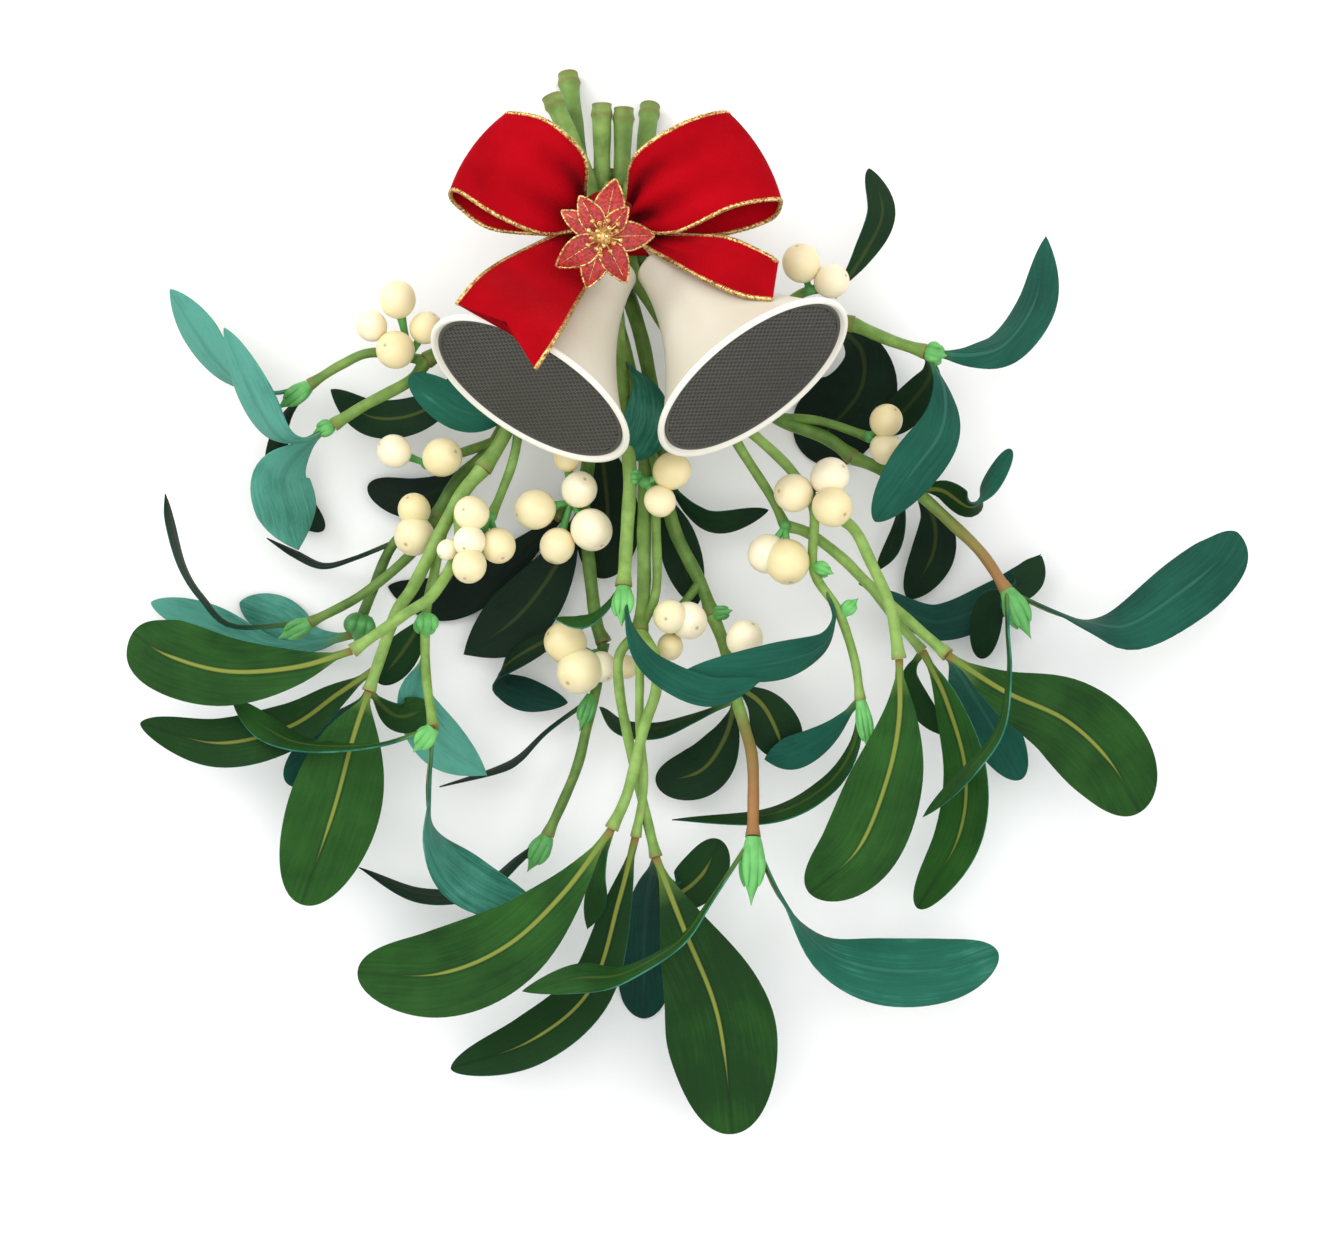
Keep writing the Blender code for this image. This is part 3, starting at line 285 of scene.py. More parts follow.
# %% The shape of a leaf
LEAF_ROWS = 46
TIP_CROWDING = 1.8  # exponent by which the rows crowd towards the round tip
HALF_ACROSS = [1.0, 0.985, 0.9, 0.72, 0.5, 0.28, 0.1]
LEAF_ACROSS = np.array([*HALF_ACROSS, 0.0, *(-x for x in reversed(HALF_ACROSS))])
LEAF_THICKNESS = 0.8
LEAF_CUP = 0.05  # how far the middle sinks below the edges, as a share of the width
BROAD_LEAF = 12.0  # a leaf wider than this has all of that cup
NARROW_CUP = 0.25  # and a narrower one only this share of it
EDGE_WAVE = 0.035  # height of the waves of the edge, as a share of half the width
EDGE_WAVE_TURN = 9  # radians of those waves along the whole blade
EDGE_WAVE_SHIFT = 1.3  # radians by which each edge's waves are out of step with the middle's
WIDEST_AT = 0.66
BLADE_SWELL = 1.3  # exponent of the sine by which the blade widens from its stalk
PETIOLE_HALF_WIDTH = 1.0
TIP_HALF_WIDTH = 0.12
EDGE_THINNING = 0.5
TIP_THINNING = 0.6
RIB_HEIGHT = 0.22
RIB_REACH = 0.7
RIB_BELOW = 0.5  # the share of its height that shows on the back


def blade_half_width(u, width, pointed):
    """Half the width at share u: a sine to the widest place, then part of an ellipse, or a point."""
    swell = np.sin(np.pi / 2 * np.clip(u / WIDEST_AT, 0, 1))**BLADE_SWELL
    close = np.clip(1 - (np.maximum(u - WIDEST_AT, 0) / (1 - WIDEST_AT))**2, 0, 1)**(0.5 + 0.5 * pointed)
    stalk = PETIOLE_HALF_WIDTH * np.clip(1 - 2 * u, 0, 1)**0.5
    return np.maximum(width / 2 * swell * close, np.maximum(stalk, TIP_HALF_WIDTH))


def swept_leaf(width, spine, pointed, tone, seed):
    """For each row: middle + sideways x half width x across, cupped, with a raised rib and a wavy edge."""
    u = 1 - (1 - np.linspace(0, 1, LEAF_ROWS))**TIP_CROWDING
    bent = curve_through(spine, u)
    run, level, over = frame_along(bent[:, :3])
    roll = np.radians(bent[:, 3])[:, None]
    side = level * np.cos(roll) + over * np.sin(roll)
    face = np.cross(run, side)
    half = blade_half_width(u, width, pointed)[:, None]
    across = LEAF_ACROSS[None]
    cup = 2 * half * LEAF_CUP * (1.0 if width > BROAD_LEAF else NARROW_CUP) * across**2
    turn = u[:, None] * EDGE_WAVE_TURN + seed
    wave = EDGE_WAVE * half * np.sin(turn + EDGE_WAVE_SHIFT * np.sign(across)) * across**2
    rib = RIB_HEIGHT * hump(across * half, RIB_REACH) * (1 - u[:, None])**0.5
    thick = LEAF_THICKNESS / 2 * (1 - EDGE_THINNING * across**4) * (1 - TIP_THINNING * u[:, None]**6)
    middle = bent[:, None, :3] + side[:, None] * (across * half)[..., None]
    top = middle + face[:, None] * (cup + wave + rib + thick)[..., None]
    under = (middle + face[:, None] * (cup + wave - thick - RIB_BELOW * rib)[..., None])[:, ::-1]
    along, place = np.broadcast_arrays(u[:, None], np.concatenate([across, across[:, ::-1]], 1))
    columns = len(LEAF_ACROSS)
    slots = np.where(np.arange(2 * columns) < columns - 1, 0, 1)
    values = {"tone": tone, "rib_distance": (place * half).reshape(-1), "leaf_width": width, "seed": seed}
    return patch(np.concatenate([top, under], 1), slots, np.stack([along, place * 0.5 + 0.5], -1), values)


# %% [markdown]
# ## Where the stems pass the tie
# All main stems run through the ribbon's band side by side, three rows deep. A stem's points are
# therefore its cut end, its own place in the band, and then the way down its sprig.

# %% The tie and the stems through it
TIE = (-12.0, 97.0, 17.0)
TIE_STEM_RADIUS = 2.1
TIE_PITCH = 4.75
TIE_ROW = 4.15
CUT_END_RADIUS = 2.7
HIDDEN_END_RADIUS = 2.2
print(f"tie: stems {TIE_PITCH} mm apart in rows {TIE_ROW} mm apart, {TIE[2]} mm above the table")


def bundle_stem(column, row, cut_end, *below):
    """A main stem's points: its cut end, straight through the tie at its own slot, then down its sprig."""
    x, y, z = TIE[0] + column * TIE_PITCH, TIE[1], TIE[2] + row * TIE_ROW
    return [cut_end, (x, y + 9, z), (x, y - 8, z), *below]


# %% [markdown]
# ## The ten sprigs
# Each stem is its radius at the start, its radius at the end, and its points. Each leaf is its width, its
# spine from stalk to tip as x, y, z and roll in degrees, and how pointed it is if it isn't round: roll 0
# shows the green face, 90 the edge and 180 the back. Each bud is its radius, base and tip.

# %% The layout of the sprigs
SPRIGS = {
    "sprig_far_left": {
        "stems": [
            (CUT_END_RADIUS, 1.9, bundle_stem(-1.5, 0, (-23, 137, 1.6),
                                              (-34, 80, 21), (-47, 72, 21), (-58, 65, 22))),
            (1.7, 1.5, [(-58, 65, 22), (-62, 60, 23), (-73, 54, 24), (-81, 49, 24)]),
            (1.4, 1.3, [(-58, 65, 22), (-71, 67, 22), (-79, 64, 22), (-87, 59, 22)]),
        ],
        "leaves": [
            (14, [(-87, 59, 22, 75), (-97, 57, 20, 95), (-107, 62, 17, 115), (-115, 72, 14, 130),
                  (-122, 83, 12, 140)], 0.6),
            (14, [(-81, 49, 24, 75), (-89, 45, 26, 95), (-95, 47, 28, 115), (-101, 57, 28, 130),
                  (-108, 73, 26, 140)], 0.6),
            (17, [(-81, 49, 24, 100), (-89, 43, 20, 125), (-94, 36, 18, 150), (-92, 27, 16, 155),
                  (-90, 18, 14, 150)], 1.0),
            (8, [(-87, 59, 22, 40), (-94, 49, 12, 20), (-95, 38, 7, 10), (-90, 29, 5, 0), (-84, 23, 4, 0)]),
            (11, [(-47, 72, 21, 20), (-50, 60, 15, 25), (-60, 52, 13, 30), (-72, 51, 12, 30),
                  (-82, 58, 12, 20)], 0.6),
        ],
        "buds": [(2.2, (-87, 59, 22), (-95, 53, 22)), (1.9, (-81, 49, 24), (-86, 47, 25))],
    },
    "sprig_left_rear": {
        "stems": [
            (HIDDEN_END_RADIUS, 1.7, bundle_stem(-1, -1, (-16.8, 112, 10),
                                              (-27, 72, 15), (-41, 45, 13), (-50, 36, 13), (-56, 26, 14))),
            (1.5, 1.25, [(-56, 26, 14), (-62, 17, 15), (-74, 7, 16), (-87, 0, 16)]),
            (1.4, 1.5, [(-56, 26, 14), (-66, 20, 12), (-72, 7, 10), (-76, -3, 10)]),
            (1.4, 1.2, [(-41, 45, 13), (-50, 42, 15), (-58, 39, 16)]),
        ],
        "leaves": [
            (8, [(-87, 0, 16, 65), (-106, -1, 14, 75), (-114, 6, 14, 78), (-119, 14, 15, 78),
                 (-122, 25, 16, 75), (-123, 32, 17, 70)], 1.0),
            (6, [(-66, 20, 12, 70), (-76, 16, 10, 75), (-84, 14, 9, 75), (-91, 17, 9, 75),
                 (-98, 21, 9, 75)], 1.0),
            (9, [(-76, -3, 10, 160), (-95, -7, 8, 170), (-112, 0, 7, 170), (-127, 5, 7, 170)], 0.3),
            (11, [(-76, -3, 10, 160), (-87, -4, 4, 170), (-95, 1, 2.5, 175), (-105, 5, 2, 175)], 0.3),
            (10, [(-46, 40, 13, 10), (-53, 34, 8, 5), (-62, 31, 5, 0), (-73, 34, 4, 0)]),
        ],
        "buds": [(2.2, (-87, 0, 16), (-95, -4, 15)), (3.4, (-74, 2, 11), (-76, -5, 11))],
    },
    "sprig_left_front": {
        "stems": [
            (CUT_END_RADIUS, 2.0, bundle_stem(-1, 1, (-27, 131, 14),
                                              (-27, 72, 26), (-34, 56, 24), (-40, 44, 24), (-44, 38, 25))),
            (2.0, 1.5, [(-44, 38, 25), (-49, 32, 26), (-54, 23, 27), (-61, 9, 29), (-65, 3, 30),
                        (-69, -8, 31), (-72, -17, 32)]),
            (1.4, 1.2, [(-34, 56, 24), (-36, 42, 24), (-39, 33, 24), (-42, 26, 26)]),
            (1.6, 1.5, [(-50, 30, 26), (-50, 18, 31), (-56, 7, 36), (-63, 2, 38), (-76, -7, 38)]),
            (1.4, 1.3, [(-54, 23, 27), (-56, 12, 25), (-58, 2, 25), (-58, -12, 28), (-56, -26, 37)]),
        ],
        "leaves": [
            (19, [(-76, -7, 38, 0), (-90, -11, 38, -5), (-107, -12, 35, -5), (-122, -8, 32, 0),
                  (-130.5, -2.5, 30, 0)]),
            (13, [(-71, -12, 31, 20), (-80, -18, 28, 15), (-92, -26, 25, 15), (-110, -30, 23, 15),
                  (-129, -25, 22, 15)], 0.2),
            (9, [(-56, -26, 37, 70), (-68, -30, 38, 78), (-79, -31, 36, 75), (-90, -30, 31, 65),
                 (-98, -26, 27, 35), (-106, -19, 25, 15)], 0.5),
            (15, [(-56, -26, 37, 75), (-57, -42, 35, 85), (-56, -54, 33, 110), (-47, -64, 30, 150),
                  (-29, -73, 26, 165)], 0.2),
            (23, [(-72, -17, 32, 10), (-76, -29, 31, 5), (-81, -47, 27, 0), (-89, -70, 21, 0)]),
            (12, [(-72, -17, 32, 150), (-77, -24, 20, 170), (-84, -32, 13, 175), (-93, -40, 11, 175)]),
            (9, [(-72, -17, 32, 30), (-65, -23, 26, 20), (-57, -21, 24, 10)]),
            (13, [(-58, -8, 27, 150), (-61, -18, 23, 160), (-55, -29, 20, 165), (-43, -38, 17, 165)], 1.0),
            (9, [(-58, 2, 25, 10), (-63, -6, 22, 0), (-70, -15, 19, 0)]),
            (11, [(-34, 56, 24, 150), (-41, 52, 24, 155), (-50, 53, 25, 160), (-62, 61, 28.5, 165)]),
        ],
        "buds": [(2.3, (-56, -26, 37), (-61, -32, 36)), (2.6, (-58, 2, 25), (-58, -4, 27))],
    },
    "sprig_centre_rear": {
        "stems": [
            (HIDDEN_END_RADIUS, 1.7, bundle_stem(0, -1, (-12, 112, 9.5),
                                              (-13, 70, 17), (-17, 45, 14), (-19, 30, 13), (-18, 18, 13),
                                              (-16, 1, 14),
                                              (-14, -5, 15))),
            (1.5, 1.4, [(-14, -5, 15), (-16, -17, 15), (-18, -25, 15), (-21, -37, 15), (-28, -53, 16)]),
            (1.3, 1.2, [(-18, 36, 14), (-22, 30, 16), (-26, 26, 18)]),
        ],
        "leaves": [
            (16, [(-19, 30, 13, 10), (-26, 14, 9, 0), (-36, 1, 7, 0), (-49, -8, 6, 0)], 1.0),
            (12, [(-19, 32, 13, 10), (-32, 20, 6, 0), (-43, 11, 2.5, 0), (-55, 6, 0.9, 0),
                  (-68, 9, 0.35, 0)], 0.5),
            (16, [(-16, 50, 14, 0), (-14, 38, 9, 0), (-13, 24, 7, 0), (-15, 11, 6, 0)]),
            (11, [(-15, 1, 14, 10), (-27, -4, 14, 20), (-37, -10, 13, 60), (-40, -15, 11, 110),
                  (-33, -18, 9, 150), (-23, -20, 8, 160)], 0.5),
            (8, [(-28, -53, 16, 50), (-35, -59, 15, 60), (-45, -67, 13, 65), (-60, -68, 12, 65),
                 (-75, -61, 12, 60)], 1.0),
            (6, [(-17, -19, 15, 70), (-28, -27, 10, 75), (-35, -34, 8, 75), (-41, -37, 8, 75),
                 (-55, -41, 8, 75)], 1.0),
        ],
        "buds": [(1.9, (-17, -18, 15), (-20, -27, 16)), (2.4, (-28, -53, 16), (-33, -62, 16))],
    },
    "sprig_centre_front": {
        "stems": [
            (CUT_END_RADIUS, 1.8, bundle_stem(-0.5, 0, (-14.5, 129, 13),
                                              (-9, 68, 22), (-4, 45, 22), (-4, 22, 24), (-4, 9, 26),
                                              (-5, -2, 29))),
            (1.4, 1.4, [(-5, -2, 29), (-10, -8, 30), (-10, -17, 30), (-8, -28, 30), (-6, -37, 30),
                        (-1, -58, 32)]),
            (1.6, 1.5, [(-5, -2, 29), (-1, -9, 34), (-1, -17, 36), (-4, -26, 37), (-8, -42, 37),
                        (-12, -51, 37)]),
            (1.2, 1.2, [(-5, -2, 29), (-5, -14, 33), (-5, -26, 33.5), (-4, -40, 33.5), (-6, -53, 32)]),
            (1.3, 1.3, [(-5, 50, 23), (-1, 38, 24), (-1, 26, 25), (-1, 8, 27), (-5, -2, 29)]),
        ],
        "leaves": [
            (22.5, [(-12, -51, 37, 0), (-24, -67, 36, 0), (-38, -80, 33, 0), (-55, -87, 29, 0),
                    (-75, -87, 25, 0)]),
            (15, [(-6, -53, 32, 20), (-10, -69, 28, 25), (-17, -91, 23, 30), (-32, -104, 20, 30),
                  (-52, -111, 17, 30)], 0.2),
            (27.5, [(-1, -58, 32, 0), (6, -76, 31, 0), (13, -93, 28, 0), (16, -107, 25, 0),
                    (18, -127, 21, 0)]),
            (13, [(-1, -58, 32, 150), (-3, -66, 18, 170), (-4, -79, 7, 178), (-4, -91, 1.5, 180),
                  (-4, -99, 0.2, 180)]),
            (6, [(-12, -51, 37, 40), (-15, -62, 30, 30), (-16, -69, 26, 25), (-18, -76, 24, 20)], 1.0),
            (12, [(-1, -58, 32, 20), (3, -67, 25, 10), (10, -63, 21, 5), (15, -54, 19, 0)]),
        ],
        "buds": [],
    },
    "sprig_brown_stem": {
        "stems": [
            (CUT_END_RADIUS, 1.7, bundle_stem(0.5, 0, (-9, 128, 13),
                                              (-4, 68, 23), (0, 45, 18), (3, 25, 17), (10, 10, 17),
                                              (13, 2, 18))),
            (1.7, 1.6, [(13, 2, 18), (16, -6, 19), (19, -19, 21), (21, -26, 22), (23, -35, 25),
                        (23, -53, 32)]),
            (1.2, 1.1, [(10, 10, 17), (6, 5, 19), (3, 2, 22)]),
        ],
        "leaves": [
            (9, [(23, -53, 32, 70), (13, -68, 37, 75), (5, -79, 36.5, 72), (-9, -87, 38, 65),
                 (-21, -88, 39, 25), (-34, -91, 38, 10)], 0.7),
            (18, [(23, -53, 32, 70), (30, -68, 33, 85), (40, -81, 31, 120), (54, -86, 28, 155),
                  (70, -86, 24, 165), (84, -82, 21, 165)]),
            (13, [(19, -19, 21, 10), (16, -29, 14, 0), (10, -37, 10, 0), (-1, -40, 8, 0)]),
            (8, [(19, -19, 21, 40), (8, -24, 19, 55), (-1, -27, 18, 60), (-10, -26, 18, 60),
                 (-15, -21, 20, 60)], 0.6),
            (12.5, [(18, -15, 20, 10), (25, -20, 20, 0), (29, -27, 18, 0), (31, -34, 16, 0)], 0.3),
            (10, [(2, 32, 17, 0), (4, 22, 11, 0), (9, 4, 9, 0)], 0.5),
            (7, [(1, 36, 17, 30), (8, 28, 14, 40), (15, 25, 13, 40), (27, 28, 13, 35)], 0.5),
        ],
        "buds": [(2.7, (23, -53, 32), (22.5, -70, 34)), (1.6, (13, 2, 18), (18, 3, 21))],
    },
    "sprig_curled": {
        "stems": [
            (HIDDEN_END_RADIUS, 1.8, bundle_stem(0, 1, (-12, 109.5, 21.15),
                                              (-11, 80, 27), (-10, 66, 29), (-9, 56, 29), (-7.5, 37, 30),
                                              (-8, 25, 31), (-9, 9, 35))),
        ],
        "leaves": [
            (9, [(-9, 9, 35, 60), (-7, -2, 41, 120), (-1, -11, 46, 140), (12, -17, 48, 150),
                 (25, -14, 48, 140)], 0.6),
            (6, [(-9, 9, 35, 30), (-15, 2, 34, 60), (-20, 0, 34, 60), (-26, 1, 34, 60)], 0.8),
            (13, [(-10, 66, 29, 60), (-4, 59, 30, 130), (-3, 49, 30, 155), (-7, 40, 30, 150)], 0.3),
        ],
        "buds": [(2.3, (-9, 9, 35), (-9.5, -1, 38)), (1.7, (-7.5, 36, 30), (-4, 36, 31))],
    },
    "sprig_right_front": {
        "stems": [
            (HIDDEN_END_RADIUS, 1.9, bundle_stem(1, 1, (-7.25, 109.5, 21.15),
                                              (0, 76, 24), (9, 62, 24), (14, 54, 25))),
            (1.5, 1.2, [(14, 54, 25), (20, 43, 26), (27, 32, 28), (31, 24, 29)]),
            (1.5, 1.2, [(14, 54, 25), (25, 45, 26), (33, 37, 28), (38, 28, 31), (38, 13, 33),
                        (44, 3, 35), (48, -9, 35),
                        (49.5, -19, 34)]),
            (1.6, 1.6, [(38, 28, 31), (47, 24, 35), (52, 15, 38), (57, 3, 40), (59, -9, 40)]),
            (1.5, 1.5, [(31, 24, 29), (37, 22, 28), (45, 16, 29), (52, 9, 31), (62, 0, 35), (71, -8, 39)]),
            (1.2, 1.2, [(52, 9, 31), (58, 1, 31), (65, -7, 31)]),
        ],
        "leaves": [
            (20, [(59, -9, 40, 0), (59, -24, 40, 5), (56, -39, 37, 5), (49, -56, 33, 5), (37, -67, 29, 0)]),
            (14, [(65, -7, 31, 20), (71, -19, 30, 30), (76, -37, 26, 35), (74, -54, 22, 30),
                  (64, -71, 17, 25)]),
            (23, [(71, -8, 39, 0), (85, -17, 38, -5), (100, -24, 35, -5), (111, -34, 31, 0),
                  (119, -47, 26, 0)]),
            (13, [(71, -8, 39, 150), (75, -14, 27, 170), (82, -25, 17, 175), (90, -39, 13, 175)]),
            (6, [(65, -7, 31, 20), (62, -13, 27, 15), (65, -21, 22, 10), (71, -28, 20, 5)], 0.5),
            (9, [(49.5, -19, 34, 40), (48, -31, 30, 50), (41, -41, 27, 60), (27, -48, 24, 65),
                 (3, -49, 21, 60)], 1.0),
            (9, [(49.5, -19, 34, 150), (42, -27, 26, 155), (34, -32, 21, 160), (26, -34, 19, 165)], 0.7),
            (11, [(41, 8, 34, 75), (43, 1, 38, 95), (39, -6, 40, 120), (27, -10, 44, 150),
                  (6, -12, 43, 160)], 0.7),
            (10, [(50, 10, 31, 20), (56, 6, 19, 150), (69, 0, 9, 170), (84, 6, 7, 175),
                  (95, 17, 8, 175)], 0.9),
        ],
        "buds": [(1.7, (49.5, -19, 34), (52, -33, 35)), (1.6, (38, 14, 33), (43, 12, 35)),
                 (1.6, (45, 2, 35), (49, 6, 35))],
    },
    "sprig_right": {
        "stems": [
            (HIDDEN_END_RADIUS, 1.8, bundle_stem(1, -1, (-7.2, 112, 10),
                                              (2, 78, 17), (16, 61, 16), (29, 51, 17), (41, 46, 18),
                                              (48, 41, 19))),
            (1.8, 1.5, [(48, 41, 19), (55, 38, 20), (63, 33, 21), (73, 24, 22), (80, 17, 22), (86, 8, 22)]),
            (1.3, 1.2, [(29, 51, 17), (40, 50, 19), (52, 46, 21)]),
        ],
        "leaves": [
            (11, [(63, 33, 21, 20), (70, 33, 22, 30), (77, 29, 24, 60), (81, 33, 25, 110),
                 (87, 43, 25, 130)]),
            (11, [(63, 33, 21, 10), (68, 26, 12, 0), (68, 17, 7, 0), (62, 6, 3.5, 0)], 0.2),
            (5, [(60, 34, 21, 30), (60, 26, 12, 40), (58, 19, 10, 40), (54, 13, 9, 40)], 0.5),
            (17, [(86, 8, 22, 60), (97, 3, 24, 82), (107, -0.5, 24, 105), (116.5, -0.8, 22, 140),
                  (129.5, 7.5, 19, 160), (139, 15.5, 16, 165), (143.6, 22.5, 14, 165)], 0.1),
            (9, [(86, 8, 22, 80), (86, -2, 33, 85), (86, -13, 46, 85), (84, -26, 46, 80),
                 (77, -36, 40, 65), (65, -48, 36, 35)], 0.7),
            (8, [(86, 8, 22, 20), (82, 4, 16, 5), (80, -9, 11, 0)]),
            (8, [(86, 8, 22, 20), (90, 9, 16, 5), (95, 16.5, 13, 0)], 0.8),
        ],
        "buds": [(2.7, (86, 8, 22), (92, -4, 24))],
    },
    "sprig_upper_right": {
        "stems": [
            (CUT_END_RADIUS, 1.8, bundle_stem(1.5, 0, (-2.5, 129, 1.6),
                                              (2, 86, 24), (20, 80, 22), (40, 76, 21), (48, 74, 22))),
            (1.8, 1.6, [(48, 74, 22), (57, 70, 25), (66, 67, 28)]),
            (1.4, 1.2, [(30, 78, 21.5), (36, 82, 22), (43, 83, 22)]),
        ],
        "leaves": [
            (14, [(66, 67, 28, 100), (70, 57, 36, 130), (69, 47, 38, 150), (62, 37, 38, 160),
                  (53, 25, 36, 160)], 0.2),
            (14, [(66, 67, 28, 150), (77, 66, 26, 140), (86, 69, 22, 135), (93.5, 80, 18, 135),
                  (96, 96, 16, 140)], 0.8),
            (9, [(43, 81, 22, 20), (50, 91, 19, 35), (55, 102, 16, 40), (52, 113, 13, 40)], 0.3),
            (21, [(42, 75, 21, 10), (50, 68, 12, 0), (50, 58, 6, 0), (42, 48, 1.0, 0), (36, 42, 0.2, 0)]),
            (9, [(66, 67, 28, 20), (67, 61, 18, 5), (61, 53, 8, 0), (55, 47, 6, 0)], 0.3),
        ],
        "buds": [(2.4, (66, 67, 28), (71, 66, 30))],
    },
}
for part in ("stems", "leaves", "buds"):
    print(f"{part}:", sum(len(sprig[part]) for sprig in SPRIGS.values()))

# %% [markdown]
# ## The berries' places
# One to five berries grow together over a fork. Each cluster is the point on a stem that it grows over,
# that stem's radius, and its berries as x, y, z and radius.

# %% The layout of the berries
BERRY_CLUSTERS = {
    "berries_far_left": ((-62, 66, 22), 1.5,
                         [(-65, 80, 29, 4.6), (-71.5, 73.5, 28, 3.9), (-65.5, 67.5, 30, 4.8),
                          (-58, 73, 28, 4.0)]),
    "berries_left_rear": ((-58, 39.5, 16), 1.3, [(-66, 42.5, 22, 4.2), (-54, 41, 23.5, 4.9)]),
    "berries_left_low": ((-58.5, 24, 14.5), 1.6, [(-61, 28, 21.5, 4.1), (-61, 21.5, 22, 5.0)]),
    "berries_left_front": ((-42, 26, 26), 1.5,
                           [(-46.5, 27, 38, 4.4), (-47, 20, 39.5, 4.0), (-40, 19, 36, 4.4),
                            (-47, 14, 41, 4.3), (-52.5, 18, 36.5, 2.6)]),
    "berries_centre_rear": ((-22, 30, 16), 1.3,
                            [(-20, 33, 24, 4.5), (-23, 41, 22, 3.5), (-31, 28, 22, 5.0),
                             (-17, 23, 23.5, 5.2), (-25.5, 19, 22, 4.4)]),
    "berries_low": ((-16, -8, 15), 1.6,
                    [(-23.5, -5, 22, 5.2), (-20, -12, 23, 5.7), (-14.5, -11, 20.5, 3.8),
                     (-8.5, -11, 20, 3.0)]),
    "berries_middle": ((4.5, 3.5, 20.6), 1.3,
                       [(2.5, 1.5, 31.5, 4.3), (7, 0.5, 29, 4.7), (2.5, -6, 26, 3.3)]),
    "berries_brown_stem": ((17, -10, 19.7), 1.8, [(21, -4, 27, 4.6)]),
    "berries_curled": ((-3.6, 34.5, 30.3), 1.0, [(3, 37.5, 33.5, 4.7), (0, 30, 33.5, 3.9)]),
    "berries_right_front": ((37, 32, 29.5), 1.4,
                            [(33, 32, 36, 4.8), (42, 36, 37, 4.8), (42.5, 28.5, 40, 5.0)]),
    "berries_right_low": ((31, 24, 29), 1.4, [(26.5, 17, 33, 4.8), (31.5, 15, 35.5, 5.5)]),
    "berries_right": ((52, 46, 21), 1.5, [(56, 50, 28, 4.1), (56, 43, 27, 4.0)]),
    "berries_upper_right": ((37, 82.5, 22), 1.4, [(35, 89, 29, 4.8), (42.5, 84.5, 29, 4.3)]),
}
print("berries:", sum(len(cluster[2]) for cluster in BERRY_CLUSTERS.values()))

# %% [markdown]
# ## Stems
# A stem is a tube that swells where it forks, as mistletoe does, and is a little uneven along its length.
# Cut ends are flared by the blade and have dried brown, and a ring sits just below them. The tube is one
# row of rings carried along the curve, and its radius is the taper, swollen by a bell curve at the forks.

# %% The shape of a stem and a bud
STEM_STEP = 0.9  # millimetres between rings
SLIM = 0.9  # the solid stems have six sides, and a round one of the same width looks thicker
SWELLING = 0.34  # where a stem forks
FOOT_SWELLING = 0.17  # where it leaves another stem
SWELLING_REACH = 2.4
UNEVEN_RADIUS = 0.03
UNEVEN_TURN = 0.55  # radians of that unevenness in a millimetre
RING_BELOW_CUT = 2.6
RING_SWELL = 0.2
RING_REACH = 1.0
CUT_FLARE = 0.05
DRY_SHARE = 0.7  # how brown a cut, a ring and a joint are
DRY_REACH = 0.8
RING_MARK_REACH = 0.5
CUT_END_REACH = 24.0  # how far a cut end's paler colour reaches along the stem
CUT_END_PALER = 0.12
BROWN_SHARES = (0.45, 0.9)  # a ripened stem turns brown between these shares of its length
SCALES_OF_A_BUD = 4
SCALE_LENGTH = 0.72  # as a share of the bud's length
SCALE_THICKNESS = 0.42  # as a share of the bud's radius
BUD_ROWS = 14
BUD_RIDGES = 0.06


def taper(points, start, end, tied):
    """Radius at each point: from start to end, but the tie's own radius at the two points in the band."""
    if not tied:
        return np.linspace(start, end, len(points))
    return np.concatenate([[start, TIE_STEM_RADIUS], np.linspace(TIE_STEM_RADIUS, end, len(points) - 2)])


def stem_tube(start, end, points, tied, tone, brown, seed):
    """The taper, plus swellings at the forks or, on a cut end, a flare and a ring below it."""
    knots = np.asarray(points, float)
    spans = np.linalg.norm(np.diff(knots, axis=0), axis=1)
    parts = [np.linspace(i, i + 1, max(int(s / STEM_STEP), 2), endpoint=False) for i, s in enumerate(spans)]
    share = np.concatenate([*parts, [len(spans)]]) / len(spans)
    path = curve_through(knots, share)
    along = length_along(path)
    from_end = along[-1] - along
    radii = SLIM * np.interp(share, np.linspace(0, 1, len(knots)), taper(points, start, end, tied))
    uneven_by = UNEVEN_RADIUS * np.sin(along * UNEVEN_TURN + seed)
    radii *= 1 + SWELLING * hump(from_end, SWELLING_REACH) + uneven_by
    dry = DRY_SHARE * hump(from_end, DRY_REACH)
    if tied:
        below = along - RING_BELOW_CUT
        radii *= 1 + RING_SWELL * hump(below, RING_REACH) + CUT_FLARE * hump(along, DRY_REACH)
        dry += DRY_SHARE * (hump(along, DRY_REACH) + hump(below, RING_MARK_REACH))
        tone = tone + CUT_END_PALER * hump(along, CUT_END_REACH)
    else:
        radii *= 1 + FOOT_SWELLING * hump(along, SWELLING_REACH)
    values = {"tone": np.clip(tone, 0, 1), "dry": np.clip(dry, 0, 1),
              "brown": brown * np.interp(share, BROWN_SHARES, [0, 1])}
    return tube(path, radii, values=values, slot=2)


